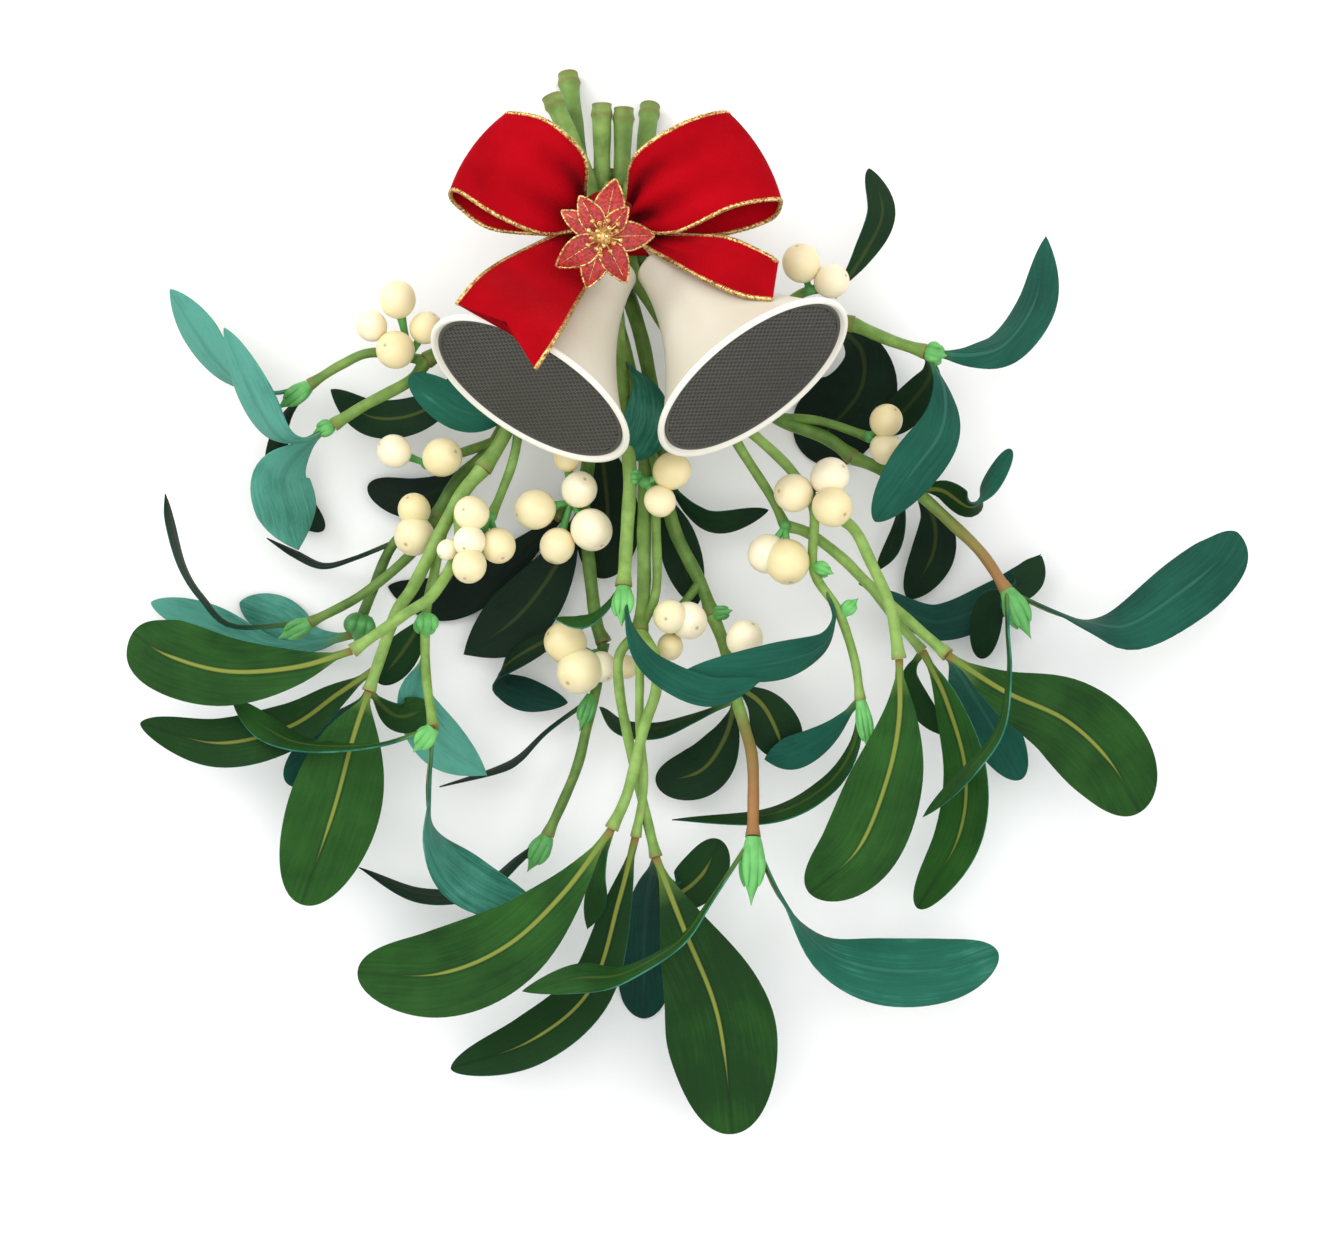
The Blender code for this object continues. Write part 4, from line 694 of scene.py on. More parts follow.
def bud_scales(radius, base, tip, tone):
    """A pointed cup: a bud and four scales, tubes whose radius and lean from the axis follow a sine."""
    base, tip = np.asarray(base, float), np.asarray(tip, float)
    length = np.linalg.norm(tip - base)
    run = (tip - base) / length
    side = unit(np.cross([0.2, 0.1, 1.0], run))
    t = np.linspace(0, 1, BUD_ROWS)
    body = radius * (0.35 + 0.75 * np.sin(np.pi * np.clip(t * 0.9 + 0.12, 0, 1))) * (1 - t**3) + 0.1
    made = [tube(base + np.outer(t, tip - base), body, values={"tone": tone}, slot=3, ridges=BUD_RIDGES)]
    lean = radius * (0.25 + 0.75 * np.sin(np.pi * t * 0.75))[:, None]
    thin = radius * SCALE_THICKNESS * np.sin(np.pi * np.clip(t * 0.93 + 0.05, 0, 1))**0.7 + 0.06
    for turn in math.pi / 4 + full_turn(SCALES_OF_A_BUD):
        out = side * math.cos(turn) + np.cross(run, side) * math.sin(turn)
        spine = base + np.outer(t * length * SCALE_LENGTH, run) + lean * out
        made.append(tube(spine, thin, sides=10, values={"tone": tone}, slot=3))
    return made


# %% [markdown]
# ## The green finishes
# The leaves are matt and slightly felted, deep green above and a cooler blue-green beneath, with an olive
# midrib that ends before the tip and fine veins along the blade. A sprig deep in the bunch is painted
# darker, as painted shade where less light gets to it, so each leaf carries a painted-shade tone from its
# height.
# The felt's hairs are too fine to show, so its grains are drawn almost a millimetre wide.

# %% The leaf's finish
# The dark low stops are painted shade for leaves deep in the bunch; the high ones are the lit leaves on
# top.
FACE_GREENS = [(0.0, "091711"), (0.35, "0f2b15"), (0.7, "153812"), (1.0, "2a5a1f")]
BACK_GREENS = [(0.0, "0c2621"), (0.45, "124639"), (0.75, "1d5e4b"), (1.0, "4f9281")]
# Veins: five grains a blade lengthways, three in two millimetres across, and each leaf's own seed.
STREAKS = (5.0, 1.5, 1.0)
CLOUD_SIZE = 14.0
CLOUD_SWING = 0.45
FELT_SIZE = 0.9
RIB_ENDS = (0.713, 0.88)  # the midrib closes between these shares of the blade
RIB_HALF_WIDTHS = (0.8, 0.45)  # at the stalk and at the tip
RIBBED_WIDTHS = (8.0, 14.0)  # narrow leaves show no midrib, and it comes in between these widths
RIBBED_TONES = (0.1, 0.555)
STALK_ENDS = (0.017, 0.16)
STALK_TONES = (-0.1, 0.9)
JOINT_ENDS = (0.012, 0.045)
JOINT_SHARE = 0.6
# From how far outside the rib's edge to how far, in millimetres, and from what share to what share.
FLANK_FALL = (-0.014, 0.7, 0.45, 0)
RIB_FALL = (-0.333, 0, 1, 0)


def leaf_finish(name, grounds, streak_swing, rib_colour, rib_share):
    """Tone, clouds and streaks pick the ground; the rib and its flanks, stalk and joint lie over it."""
    material, tree, shader = new_finish(name, Roughness=0.6, Specular_IOR_Level=0.12)
    aside, tone, width, seed = (add_node(tree, "Attribute", out="Fac", attribute_name=value)
                                for value in ("rib_distance", "tone", "leaf_width", "seed"))
    share = add_node(tree, "SeparateXYZ", add_node(tree, "UVMap", uv_map="UVMap"))
    place = add_node(tree, "CombineXYZ", share, aside, seed)
    lengthways = add_node(tree, "VectorMath", place, STREAKS, operation="MULTIPLY")
    veins = {"Vector": lengthways, "Scale": 1.0, "Detail": 4.0, "Roughness": 0.65}
    streak = add_node(tree, "MapRange", add_node(tree, "TexNoise", veins, out="Fac"), 0, 1,
                      -streak_swing / 2, streak_swing / 2)
    clouded = uneven(tree, tone, CLOUD_SIZE, CLOUD_SWING, 3.0)
    shade = add_node(tree, "Math", clouded, streak, operation="ADD")
    ground = add_node(tree, "ValToRGB", shade, stops=grounds)

    distance = add_node(tree, "Math", aside, operation="ABSOLUTE")
    half_rib = add_node(tree, "Math", add_node(tree, "MapRange", share, *RIB_ENDS, 1, 0),
                        add_node(tree, "MapRange", share, 0, 1, *RIB_HALF_WIDTHS), operation="MULTIPLY")
    outside = add_node(tree, "Math", distance, half_rib, operation="SUBTRACT")
    seen = add_node(tree, "Math", add_node(tree, "MapRange", width, *RIBBED_WIDTHS, 0, 1),
                    add_node(tree, "MapRange", tone, *RIBBED_TONES, 0, rib_share), operation="MULTIPLY")
    falls = [add_node(tree, "MapRange", outside, *fall) for fall in (FLANK_FALL, RIB_FALL)]
    flank, rib = (add_node(tree, "Math", fall, seen, operation="MULTIPLY") for fall in falls)
    stalk = add_node(tree, "Math", add_node(tree, "MapRange", share, *STALK_ENDS, 1, 0),
                     add_node(tree, "MapRange", tone, *STALK_TONES, 0, 1), operation="MULTIPLY")
    joint = add_node(tree, "MapRange", share, *JOINT_ENDS, JOINT_SHARE, 0)
    layers = [(flank, grounds[0][1]), (rib, rib_colour), (stalk, "63813a"), (joint, "8a5f38")]
    layered(tree, ground, layers, shader["Base Color"])
    felt = uneven(tree, streak, FELT_SIZE, 0.5)
    add_node(tree, "Bump", {"Height": felt, "Distance": 0.3 * MM}, to=shader["Normal"])
    return material


# %% [markdown]
# Young bark is smooth, matt and never one green: it is mottled over a few millimetres and flecked with
# brown lenticels, where the stem breathes. It turns wood brown where it ripens, and where it was cut it
# has dried.

# %% Stem and bud finishes, and the four greens
MOTTLE_SIZE = 6.25
FLECK_SIZE = 2.4
FLECK_RISE = (0.6, 0.767, 0, 0.35)  # flecks show where their noise is over 0.6, up to a share of 0.35
BUD_MOTTLE_SIZE = 3.8


def stem_finish(name):
    """Pale green, mottled olive, brown where the stem has ripened and dry at its joints and its cut."""
    material, tree, shader = new_finish(name, Roughness=0.5, Specular_IOR_Level=0.35)
    tone, brown, dry = (add_node(tree, "Attribute", out="Fac", attribute_name=value)
                        for value in ("tone", "brown", "dry"))
    shade = uneven(tree, tone, MOTTLE_SIZE, 0.9, 4.0, 0.6)
    # A low tone, from the stem's height, is painted shade deep in the bunch.
    stops = [(0.0, "1c3213"), (0.4, "42641f"), (0.75, "668839"), (1.0, "84a652")]
    flecks = add_node(tree, "MapRange", uneven(tree, 0.5, FLECK_SIZE, 1.0), *FLECK_RISE)
    layers = [(flecks, "8a7a3c"), (brown, "9a5f3a"), (dry, "7a6236")]
    layered(tree, add_node(tree, "ValToRGB", shade, stops=stops), layers, shader["Base Color"])
    bark = uneven(tree, 0.5, MOTTLE_SIZE, 1.0, 4.0, 0.6)
    add_node(tree, "Bump", {"Height": bark, "Distance": 0.4 * MM}, to=shader["Normal"])
    return material


def bud_finish(name):
    """Young growth is the brightest green of the bunch and slightly waxy."""
    material, tree, shader = new_finish(name, Roughness=0.45)
    tone = add_node(tree, "Attribute", out="Fac", attribute_name="tone")
    # A low tone is painted shade for buds deep in the bunch.
    stops = [(0.0, "24542e"), (0.5, "468c42"), (1.0, "68b860")]
    add_node(tree, "ValToRGB", uneven(tree, tone, BUD_MOTTLE_SIZE, 0.8, 3.0), stops=stops,
             to=shader["Base Color"])
    return material


GREENS = [leaf_finish("felted_green_face", FACE_GREENS, 0.27, "80893a", 0.9),
          leaf_finish("blue_green_back", BACK_GREENS, 0.42, "3f7d6a", 0.35),
          stem_finish("pale_green_bark"), bud_finish("bright_bud_green")]
print("greens:", ", ".join(green.name for green in GREENS))

# %% [markdown]
# ## Growing the sprigs
# A leaf's tone is painted shade from its mean height: those on top of the bunch get most light and are
# painted lightest. A few, most of them at the upper left, catch more or less of the window than their
# height says, and those have a painted tone of their own. Stems and buds get the same painted shade, a
# little less deep. Two stems have ripened to brown from their middles on.

# %% Every sprig as one piece
SHADE_HEIGHTS = (5, 34)
TONES = (0.05, 0.9)
HIGHEST_LEAF_TONE = 0.8
STEM_TONE_FLOOR = 0.25
BUD_TONE_FLOOR = 0.3
SHARP_EDGE = math.radians(50)  # cloth and leaves are smooth, but sharper turns than this are edges
# Painted light: leaves that catch more or less of the window than their height gives.
WINDOW_LIGHT_TONES = {("sprig_far_left", 0): 1.0, ("sprig_far_left", 1): 0.98, ("sprig_far_left", 2): 0.95,
          ("sprig_left_rear", 2): 0.95, ("sprig_left_rear", 3): 0.92, ("sprig_left_front", 7): 0.97,
          ("sprig_upper_right", 0): 0.55, ("sprig_curled", 0): 0.55, ("sprig_right_front", 7): 0.58,
          ("sprig_right_front", 1): 0.85, ("sprig_left_front", 4): 0.85}
BROWN_STEMS = {("sprig_brown_stem", 1): 0.85, ("sprig_right", 1): 0.75}


def height_shade_tone(points, floor=0.0):
    """Painted shade: the darkest tone at a mean height of 5 mm, the lightest at 34 mm, squeezed in above
    the floor.
    """
    return floor + (1 - floor) * float(np.interp(np.mean([p[2] for p in points]), SHADE_HEIGHTS, TONES))


for number, (name, spec) in enumerate(SPRIGS.items()):
    patches = []
    for i, (start, end, points) in enumerate(spec["stems"]):
        # A stem's tone is painted shade from the height of its last points.
        tone = height_shade_tone(points[-3:], STEM_TONE_FLOOR)
        brown = BROWN_STEMS.get((name, i), 0.0)
        patches.append(stem_tube(start, end, points, i == 0, tone, brown, number + i))
    for i, (width, spine, *pointed) in enumerate(spec["leaves"]):
        tone = WINDOW_LIGHT_TONES.get((name, i), min(height_shade_tone(spine), HIGHEST_LEAF_TONE))
        patches.append(swept_leaf(width, spine, *(pointed or [0.0]), tone, number * 1.7 + i))
    for radius, base, tip in spec["buds"]:
        patches += bud_scales(radius, base, tip, height_shade_tone([base], BUD_TONE_FLOOR))
    piece = mesh_piece(name + "_grown", patches, GREENS)
    piece.data.set_sharp_from_angle(angle=SHARP_EDGE)
    dress(piece, name, slot="sprig_green")

# %% [markdown]
# ## Berries
# Mistletoe berries are waxy and milky, a touch longer than wide, and each keeps a small brown scar at the
# end away from its stalk. They sit in a green cup over the fork. A sphere about the line from the
# cluster's core gives the scar its place, and a little light passes through the skin.

# %% Berry finishes and clusters
CLOUDING_SIZE = 7.0


def berry_finish(name):
    """Cream, more yellow where the tone is low, with light under the skin and a brown scar at the pole."""
    material, tree, shader = new_finish(name, Roughness=0.34, Subsurface_Weight=0.25,
                                        Subsurface_Scale=2.0 * MM)
    tone, scar = (add_node(tree, "Attribute", out="Fac", attribute_name=value)
                  for value in ("tone", "scar"))
    stops = [(0.0, "e0cf96"), (0.5, "ecdfb6"), (1.0, "f3e9d0")]
    skin = add_node(tree, "ValToRGB", uneven(tree, tone, CLOUDING_SIZE, 0.5), stops=stops)
    layered(tree, skin, [(scar, "8d6f3a")], shader["Base Color"])
    return material


BERRY_FINISHES = [berry_finish("waxy_cream_skin"), bud_finish("berry_cup_green")]
SEAT_GAP = 0.3
CLUSTER_CORE_RADIUS = 1.5
PEDICEL_RADIUS = 0.8
PEDICEL_FLARE = 0.7  # how much wider the stalk is where it meets the berry
PEDICEL_END = 0.7  # how far from a berry's middle it ends, as a share of the radius
OBLONG = 1.06
BERRY_INSET = 0.99  # a hair slimmer than its solid, because it is longer
BERRY_DIMPLE = 0.05
BERRY_TONE, BERRY_TONE_SWING = 0.5, 0.35
SCAR_REACH = 0.1  # radians, for the scar and for the ring round it
SCAR_SHARE = 0.8
SCAR_RING = 0.34  # radians from the scar
SCAR_RING_SHARE = 0.12


def scar_at(angle):
    """A bell curve at the pole, plus a fainter one that makes a ring a third of a radian out."""
    ring = SCAR_RING_SHARE * hump(angle - SCAR_RING, SCAR_REACH)
    return np.clip(SCAR_SHARE * hump(angle, SCAR_REACH) + ring, 0, 1)


def berry_patches(core, berry, i, tone):
    """A berry with its scar turned away from the core, give or take a little, and its short stalk."""
    middle, radius = np.array(berry[:3], float), berry[3]
    away = unit(middle - core)
    askew = away + [0.1 * math.sin(i), 0.1 * math.cos(i), 0.0]
    skin = ball(middle, radius * BERRY_INSET, askew, OBLONG, 26, 32, {"tone": tone, "scar": scar_at},
                dimple=BERRY_DIMPLE)
    along = np.linspace(0, 1, 8)
    stalk = np.linspace(core, middle - away * radius * PEDICEL_END, len(along))
    return [skin, tube(stalk, PEDICEL_RADIUS * (1 + PEDICEL_FLARE * along**3), 12, {"tone": 0.55}, 1)]


for number, (name, (stem_point, stem_radius, berries)) in enumerate(BERRY_CLUSTERS.items()):
    core = np.asarray(stem_point, float) + [0, 0, stem_radius + SEAT_GAP + CLUSTER_CORE_RADIUS]
    patches = [ball(core, CLUSTER_CORE_RADIUS, values={"tone": 0.5}, slot=1)]
    for i, berry in enumerate(berries):
        tone = BERRY_TONE + BERRY_TONE_SWING * math.sin(number * 2.1 + i * 1.9)
        patches += berry_patches(core, berry, i, tone)
    dress(mesh_piece(name + "_ripe", patches, BERRY_FINISHES), name, slot="berry_cream")

# %% [markdown]
# ## The bells
# Each bell is turned: one profile of radius against depth is carried round its axis. From the crown the
# wall flares slowly and then fast, as a bell's does, and ends in a thick rolled rim that keeps the mouth
# round. Each hangs by a stub that ends in the knot.

# %% A bell's profile and its place
BELL_LENGTH = 40.0
BELL_CROWN_RADIUS = 7.7
BELL_RIM_RADIUS = 27.2
BELL_WALL = 1.1
BELL_RIM_ROLL = 0.8
BELL_FLARE = 1.85
BELL_TILT = 23.0
BELL_MOUTH_HEIGHT = 58.5
BELL_STUB = (1.8, 9.0)  # radius, and length above the crown
# Each bell: the middle of its mouth on the layout, and the level direction that the mouth faces.
BELLS = {"left": ((-31.9, 57.3), (-0.535, -0.845)), "right": ((22.8, 60.1), (0.605, -0.796))}
CROWN_ROUNDING = 1.0
CROWN_MIDDLE = 3.0  # radius of the flat ring in the middle of the crown
TURNED_COLUMNS = 96
POLE_RADIUS = 0.01  # a turned disc's middle is a ring too small to see
print(f"bells: {BELL_LENGTH:.0f} mm long, {2 * (BELL_RIM_RADIUS + BELL_RIM_ROLL):.0f} mm across the rim")


def bell_radius(depth):
    """Crown radius + the rest of the rim's radius x the share of the length to the power of the flare."""
    return BELL_CROWN_RADIUS + (BELL_RIM_RADIUS - BELL_CROWN_RADIUS) * (depth / BELL_LENGTH)**BELL_FLARE


def bell_axes(side):
    """The crown's place, the direction to the mouth, and two directions across it."""
    mouth, heading = BELLS[side]
    tilt = math.radians(BELL_TILT)
    level = unit(np.array([*heading, 0.0]))
    run = level * math.cos(tilt) + np.array([0, 0, math.sin(tilt)])
    aside = unit(np.cross([0.0, 0.0, 1.0], run))
    return np.array([*mouth, BELL_MOUTH_HEIGHT]) - run * BELL_LENGTH, run, aside, np.cross(run, aside)


def turned(side, radii, depths, slot=0):
    """Carry (radius, depth) pairs round the bell's axis."""
    crown, run, aside, over = bell_axes(side)
    turn = full_turn(TURNED_COLUMNS)[:, None]
    ring = np.cos(turn) * aside + np.sin(turn) * over
    grid = crown + np.asarray(depths)[:, None, None] * run + np.asarray(radii)[:, None, None] * ring
    return patch(grid, slot, caps=False)


def bell_profile():
    """Down the outside, round the roll of the rim and up the inside to the closed crown."""
    outer_d = np.linspace(0.02, 0.965, 34) * BELL_LENGTH
    outer_d = outer_d[outer_d > 1.2 * CROWN_ROUNDING]
    outer_r = bell_radius(outer_d)
    corner = np.linspace(0, np.pi / 2, 7)
    corner_r = BELL_CROWN_RADIUS - CROWN_ROUNDING * (1 - np.sin(corner))
    corner_d = CROWN_ROUNDING * (1 - np.cos(corner))
    roll = np.linspace(-0.72 * np.pi, 0.95 * np.pi, 20)
    roll_r = BELL_RIM_RADIUS + BELL_RIM_ROLL * np.cos(roll)
    roll_d = BELL_LENGTH + BELL_RIM_ROLL * np.sin(roll)
    inner_r, inner_d = outer_r[::-1] - BELL_WALL, outer_d[::-1] + 0.3 * BELL_WALL
    crown_r = [POLE_RADIUS, CROWN_MIDDLE]
    r = np.concatenate([crown_r, corner_r, outer_r, roll_r, inner_r, crown_r[::-1]])
    d = np.concatenate([[0.0, 0.0], corner_d, outer_d, roll_d, inner_d, [2 * BELL_WALL, 2 * BELL_WALL]])
    return r, d


# %% [markdown]
# ## The mesh in the mouth
# A thin dark plate closes each mouth, punched all over with small holes on a honeycomb. Every hole is
# real: a hexagon of metal with a round hole, repeated wherever it fits the disc, over a black disc that is
# painted shade for the dark inside of the bell.
# Real holes shade themselves at a slant, which a printed pattern wouldn't.

# %% The punched plate
HOLE_PITCH = 1.55
HOLE_RADIUS = 0.54
HOLE_SIDES = 12
HOLE_DEPTH = 0.35


def punched_plate(side, radius, depth):
    """Twelve quads from each hexagon to its hole and twelve down its wall, wherever one fits the disc."""
    crown, run, aside, over = bell_axes(side)
    n = int(radius / HOLE_PITCH) + 2
    i, j = np.meshgrid(np.arange(-n, n + 1), np.arange(-n, n + 1), indexing="ij")
    x = (i + 0.5 * (j % 2)) * HOLE_PITCH
    y = j * HOLE_PITCH * math.sqrt(3) / 2
    keep = np.hypot(x, y) < radius - 0.5 * HOLE_PITCH
    middles = np.stack([x[keep], y[keep]], -1)
    turn = full_turn(HOLE_SIDES) + np.pi / 6
    hexagon = HOLE_PITCH / 2 / np.cos((turn + np.pi / 6) % (np.pi / 3) - np.pi / 6)
    rings = [np.stack([np.cos(turn), np.sin(turn)], -1) * r for r in (hexagon[:, None], HOLE_RADIUS)]
    flat = middles[:, None, None] + np.stack(rings)[None]
    points = crown + run * depth + flat[..., :1] * aside + flat[..., 1:] * over
    points = np.concatenate([points, points[:, 1:] - run * HOLE_DEPTH], 1)
    starts = np.arange(len(middles))[:, None, None] * 3 * HOLE_SIDES
    print(side, "holes:", len(middles))
    return patch(points.reshape(-1, HOLE_SIDES, 3), caps=False,
                 faces=(ring_quads(3, HOLE_SIDES)[None] + starts).reshape(-1, 4))


# %% [markdown]
# Ivory enamel is a glassy coat: soft gloss and a very slight ripple, warm where it is thick. The rim is
# the same enamel, whiter. The plate is blackened sheet metal, which is dull, and the black behind its
# holes is painted shade for the bell's dark inside.

# %% Bell finishes
WARM_PATCH_SIZE = 40.0
RIPPLE_SIZE = 1.4


def enamel_finish(name):
    """Warm ivory with a soft gloss, slightly yellower in broad patches."""
    material, tree, shader = new_finish(name, Roughness=0.36)
    patches = uneven(tree, 0.5, WARM_PATCH_SIZE, 1.0)
    add_node(tree, "ValToRGB", patches, stops=[(0.3, "c9c2ab"), (0.7, "d9d4c4")], to=shader["Base Color"])
    ripple = uneven(tree, 0.5, RIPPLE_SIZE, 1.0)
    add_node(tree, "Bump", {"Height": ripple, "Distance": 0.06 * MM}, to=shader["Normal"])
    return material


def plain_finish(name, colour, roughness, metallic=0.0):
    """One colour all over."""
    return new_finish(name, Base_Color=linear(colour), Roughness=roughness, Metallic=metallic)[0]


BELL_FINISHES = [enamel_finish("ivory_enamel"), plain_finish("white_rim_enamel", "ebe7da", 0.3)]
# Behind the holes, the black backing is painted shade for the bell's dark inside.
MESH_FINISHES = [plain_finish("dark_punched_metal", "494742", 0.5, 0.3),
                 plain_finish("black_painted_shade", "141312", 0.9)]

# %% Both bells and their plates
MESH_RADIUS = 25.9
RIM_DEPTH = 2.0  # how far the white of the rim reaches up the wall
PLATE_THICKNESS = 0.5
PLATE_BORDER = 0.9  # width of the unpunched ring round the plate
BACKING_INSET = 0.7

for side in BELLS:
    radii, depths = bell_profile()
    at_rim = (depths[:-1] > BELL_LENGTH - RIM_DEPTH) & (radii[:-1] > BELL_RIM_RADIUS - RIM_DEPTH)
    shell = turned(side, radii, depths, at_rim[:, None].astype(int))
    crown, run, *_ = bell_axes(side)
    stub = np.linspace(crown - run * BELL_STUB[1], crown + run * BELL_WALL, 8)
    bell = mesh_piece(f"bell_{side}_turned", [shell, tube(stub, BELL_STUB[0], 20)], BELL_FINISHES)
    dress(bell, f"bell_{side}", slot="bell_ivory")
    inside = MESH_RADIUS - BACKING_INSET
    border = MESH_RADIUS - PLATE_BORDER
    under = BELL_LENGTH - PLATE_THICKNESS
    # A black disc under the plate, as painted shade.
    shade_disc = turned(side, [POLE_RADIUS, inside, inside, POLE_RADIUS],
                     [under - PLATE_THICKNESS, under - PLATE_THICKNESS, under, under], slot=1)
    ring = turned(side, [MESH_RADIUS, MESH_RADIUS, border, border],
                  [under, BELL_LENGTH, BELL_LENGTH, under])
    holes = punched_plate(side, MESH_RADIUS, BELL_LENGTH - 0.1 * PLATE_THICKNESS)
    plate = mesh_piece(f"bell_{side}_mesh", [holes, shade_disc, ring], MESH_FINISHES)
    dress(plate, f"bell_{side}_grille", slot="grille_dark")

# %% [markdown]
# ## The ribbon
# The bow is wired velvet ribbon: two loops that rise from the knot and come back under themselves, and
# two cut tails. A strip is drawn by its cross lines, one edge then the other, so both edges can be
# steered, and everything between is a smooth blend. It is pinched into folds at the knot, and the folds
# run out along it.

# %% Ribbon layout
RIBBON_THICKNESS = 0.8
LOOPS = {
    "left": [
        ((-18.5, 105, 50), (-20.5, 96.5, 50)), ((-18.8, 114.5, 55), (-29, 95.5, 55)),
        ((-27.5, 122.8, 57), (-40, 100, 57)), ((-36.5, 125, 54), (-49.5, 106, 54)),
        ((-38, 123.5, 49), (-51.5, 105, 49)), ((-37, 119.5, 45), (-49, 102, 45)),
        ((-29, 113, 44), (-41, 97, 44)), ((-21.2, 102, 45), (-24.7, 95.5, 45)),
    ],
    "right": [
        ((-7.8, 105, 50), (-6, 96.5, 50)), ((-6, 114.5, 55), (4, 96, 55)),
        ((5, 122, 57), (17.5, 102, 57)), ((15, 125.2, 54), (28, 104, 54)),
        ((17, 123.5, 49), (29.5, 102.5, 49)), ((14, 118.5, 45), (26.5, 99, 45)),
        ((4, 110, 44), (14, 95.5, 44)), ((-6, 101.5, 45), (-3, 95, 45)),
    ],
}
TAILS = {
    "left": [
        ((-23, 96.5, 47.8), (-15.6, 90.3, 51.6)), ((-30, 93, 53.5), (-17, 84.5, 58.5)),
        ((-39, 88, 65), (-20.5, 78, 71)), ((-44.5, 83.5, 77), (-25, 69.5, 88)),
        ((-49.5, 77.5, 81), (-30.3, 61.5, 88.5)),
    ],
    "right": [
        ((-4, 92.5, 51), (-1, 95.5, 46.5)), ((3, 88.5, 56), (8, 95, 52)),
        ((11, 84, 63), (17, 94, 60)), ((20, 80, 69.3), (26, 90, 63)),
        ((27.4, 78.8, 72), (28.7, 88, 66.6)),
    ],
}
TAIL_NOTCH = {"left": 6.0, "right": 0.0}  # depth of the V cut
LOOP_BULGE = 1.8  # how far a loop's outer end bows outwards between its edges

# %% [markdown]
# Velvet is a short pile: its sheen glows where it is seen at a slant. On top of that, light along its folds
# and shade at the knot and in its creases are painted into its colour, and light brushed strokes lie over
# it. The wired edge is wound with gold glitter thread, so it is rough, bright and uneven. The nap's fibres
# and the glitter's grains are too fine to show, so both are drawn nearly half a millimetre wide.

# %% Velvet and glitter finishes
STROKE_SIZE = 22.0
NAP_SIZE = 0.4
GLITTER_SIZE = 0.45


def velvet_finish(name, deep, body, bright):
    """Body red painted lighter and darker by the light value of folds and knot, a soft sheen along the
    pile, and a fine nap.
    """
    material, tree, shader = new_finish(name, Roughness=0.85, Sheen_Weight=0.1, Sheen_Roughness=0.35,
                                        Sheen_Tint=linear("ff3434"), Specular_IOR_Level=0.06)
    light = add_node(tree, "Attribute", out="Fac", attribute_name="light")
    add_node(tree, "ValToRGB", uneven(tree, light, STROKE_SIZE, 0.9, 3.0, 0.6),
             stops=[(0.0, deep), (0.5, body), (1.0, bright)], to=shader["Base Color"])
    nap = uneven(tree, 0.5, NAP_SIZE, 1.0)
    add_node(tree, "Bump", {"Height": nap, "Distance": 0.2 * MM}, to=shader["Normal"])
    return material


def glitter_finish(name, low, high, metallic=0.9):
    """Coarse grains: each cell of the pattern has its own brightness, and the bump tilts its edges."""
    material, tree, shader = new_finish(name, Roughness=0.38, Metallic=metallic)
    where = add_node(tree, "TexCoord", out="Object")
    cells = add_node(tree, "TexVoronoi", {"Vector": where, "Scale": 1 / (GLITTER_SIZE * MM)}, out="Color")
    speck = add_node(tree, "SeparateColor", cells)
    add_node(tree, "ValToRGB", speck, stops=[(0.1, low), (0.9, high)], to=shader["Base Color"])
    add_node(tree, "Bump", {"Height": speck, "Distance": 0.4 * MM}, to=shader["Normal"])
    return material


# The deep stop is painted shade at the knot and in folds and grooves, the bright stop painted light on
# folds.
VELVET = velvet_finish("red_velvet_pile", "4e0005", "98000d", "b80416")
GOLD_THREAD = glitter_finish("gold_glitter_thread", "8a5f2a", "f0cf8a")

# %% [markdown]
# ## Lofting a strip
# Both edges are smooth curves through the ends of the cross lines; a row of the strip lies straight
# between them, lifted by the folds. The fold's height is a few waves across the strip that fade away from
# the knot. The V cut of a tail pulls the middle of each row back, and that of the last row most.

# %% Strip surfaces with folds and edges
STRIP_ROWS = 88
STRIP_COLUMNS = 25
FOLD_REACH = 0.22  # the share of a strip over which its folds fade
FOLD_TURN = 7.5  # radians of folds from a strip's middle to its edge
KNOT_SHADE_REACH = 0.1
# Painted light on the pile: even light, plus a fold's painted highlight, less the knot's painted shade,
# plus the puffed middle's light.
EVEN_LIGHT, FOLD_LIGHT, KNOT_SHADE, PUFF_LIGHT = 0.55, 0.4, 0.45, 0.075
LOOP_FOLD, TAIL_FOLD = 0.9, 0.8  # heights of the folds
EDGE_WIRE_RADIUS = 0.58
EDGE_WIRE_STEPS = 240
EDGE_WIRE_BUMP = 0.16
EDGE_WIRE_TURNS = (611, 233)  # radians along a whole edge


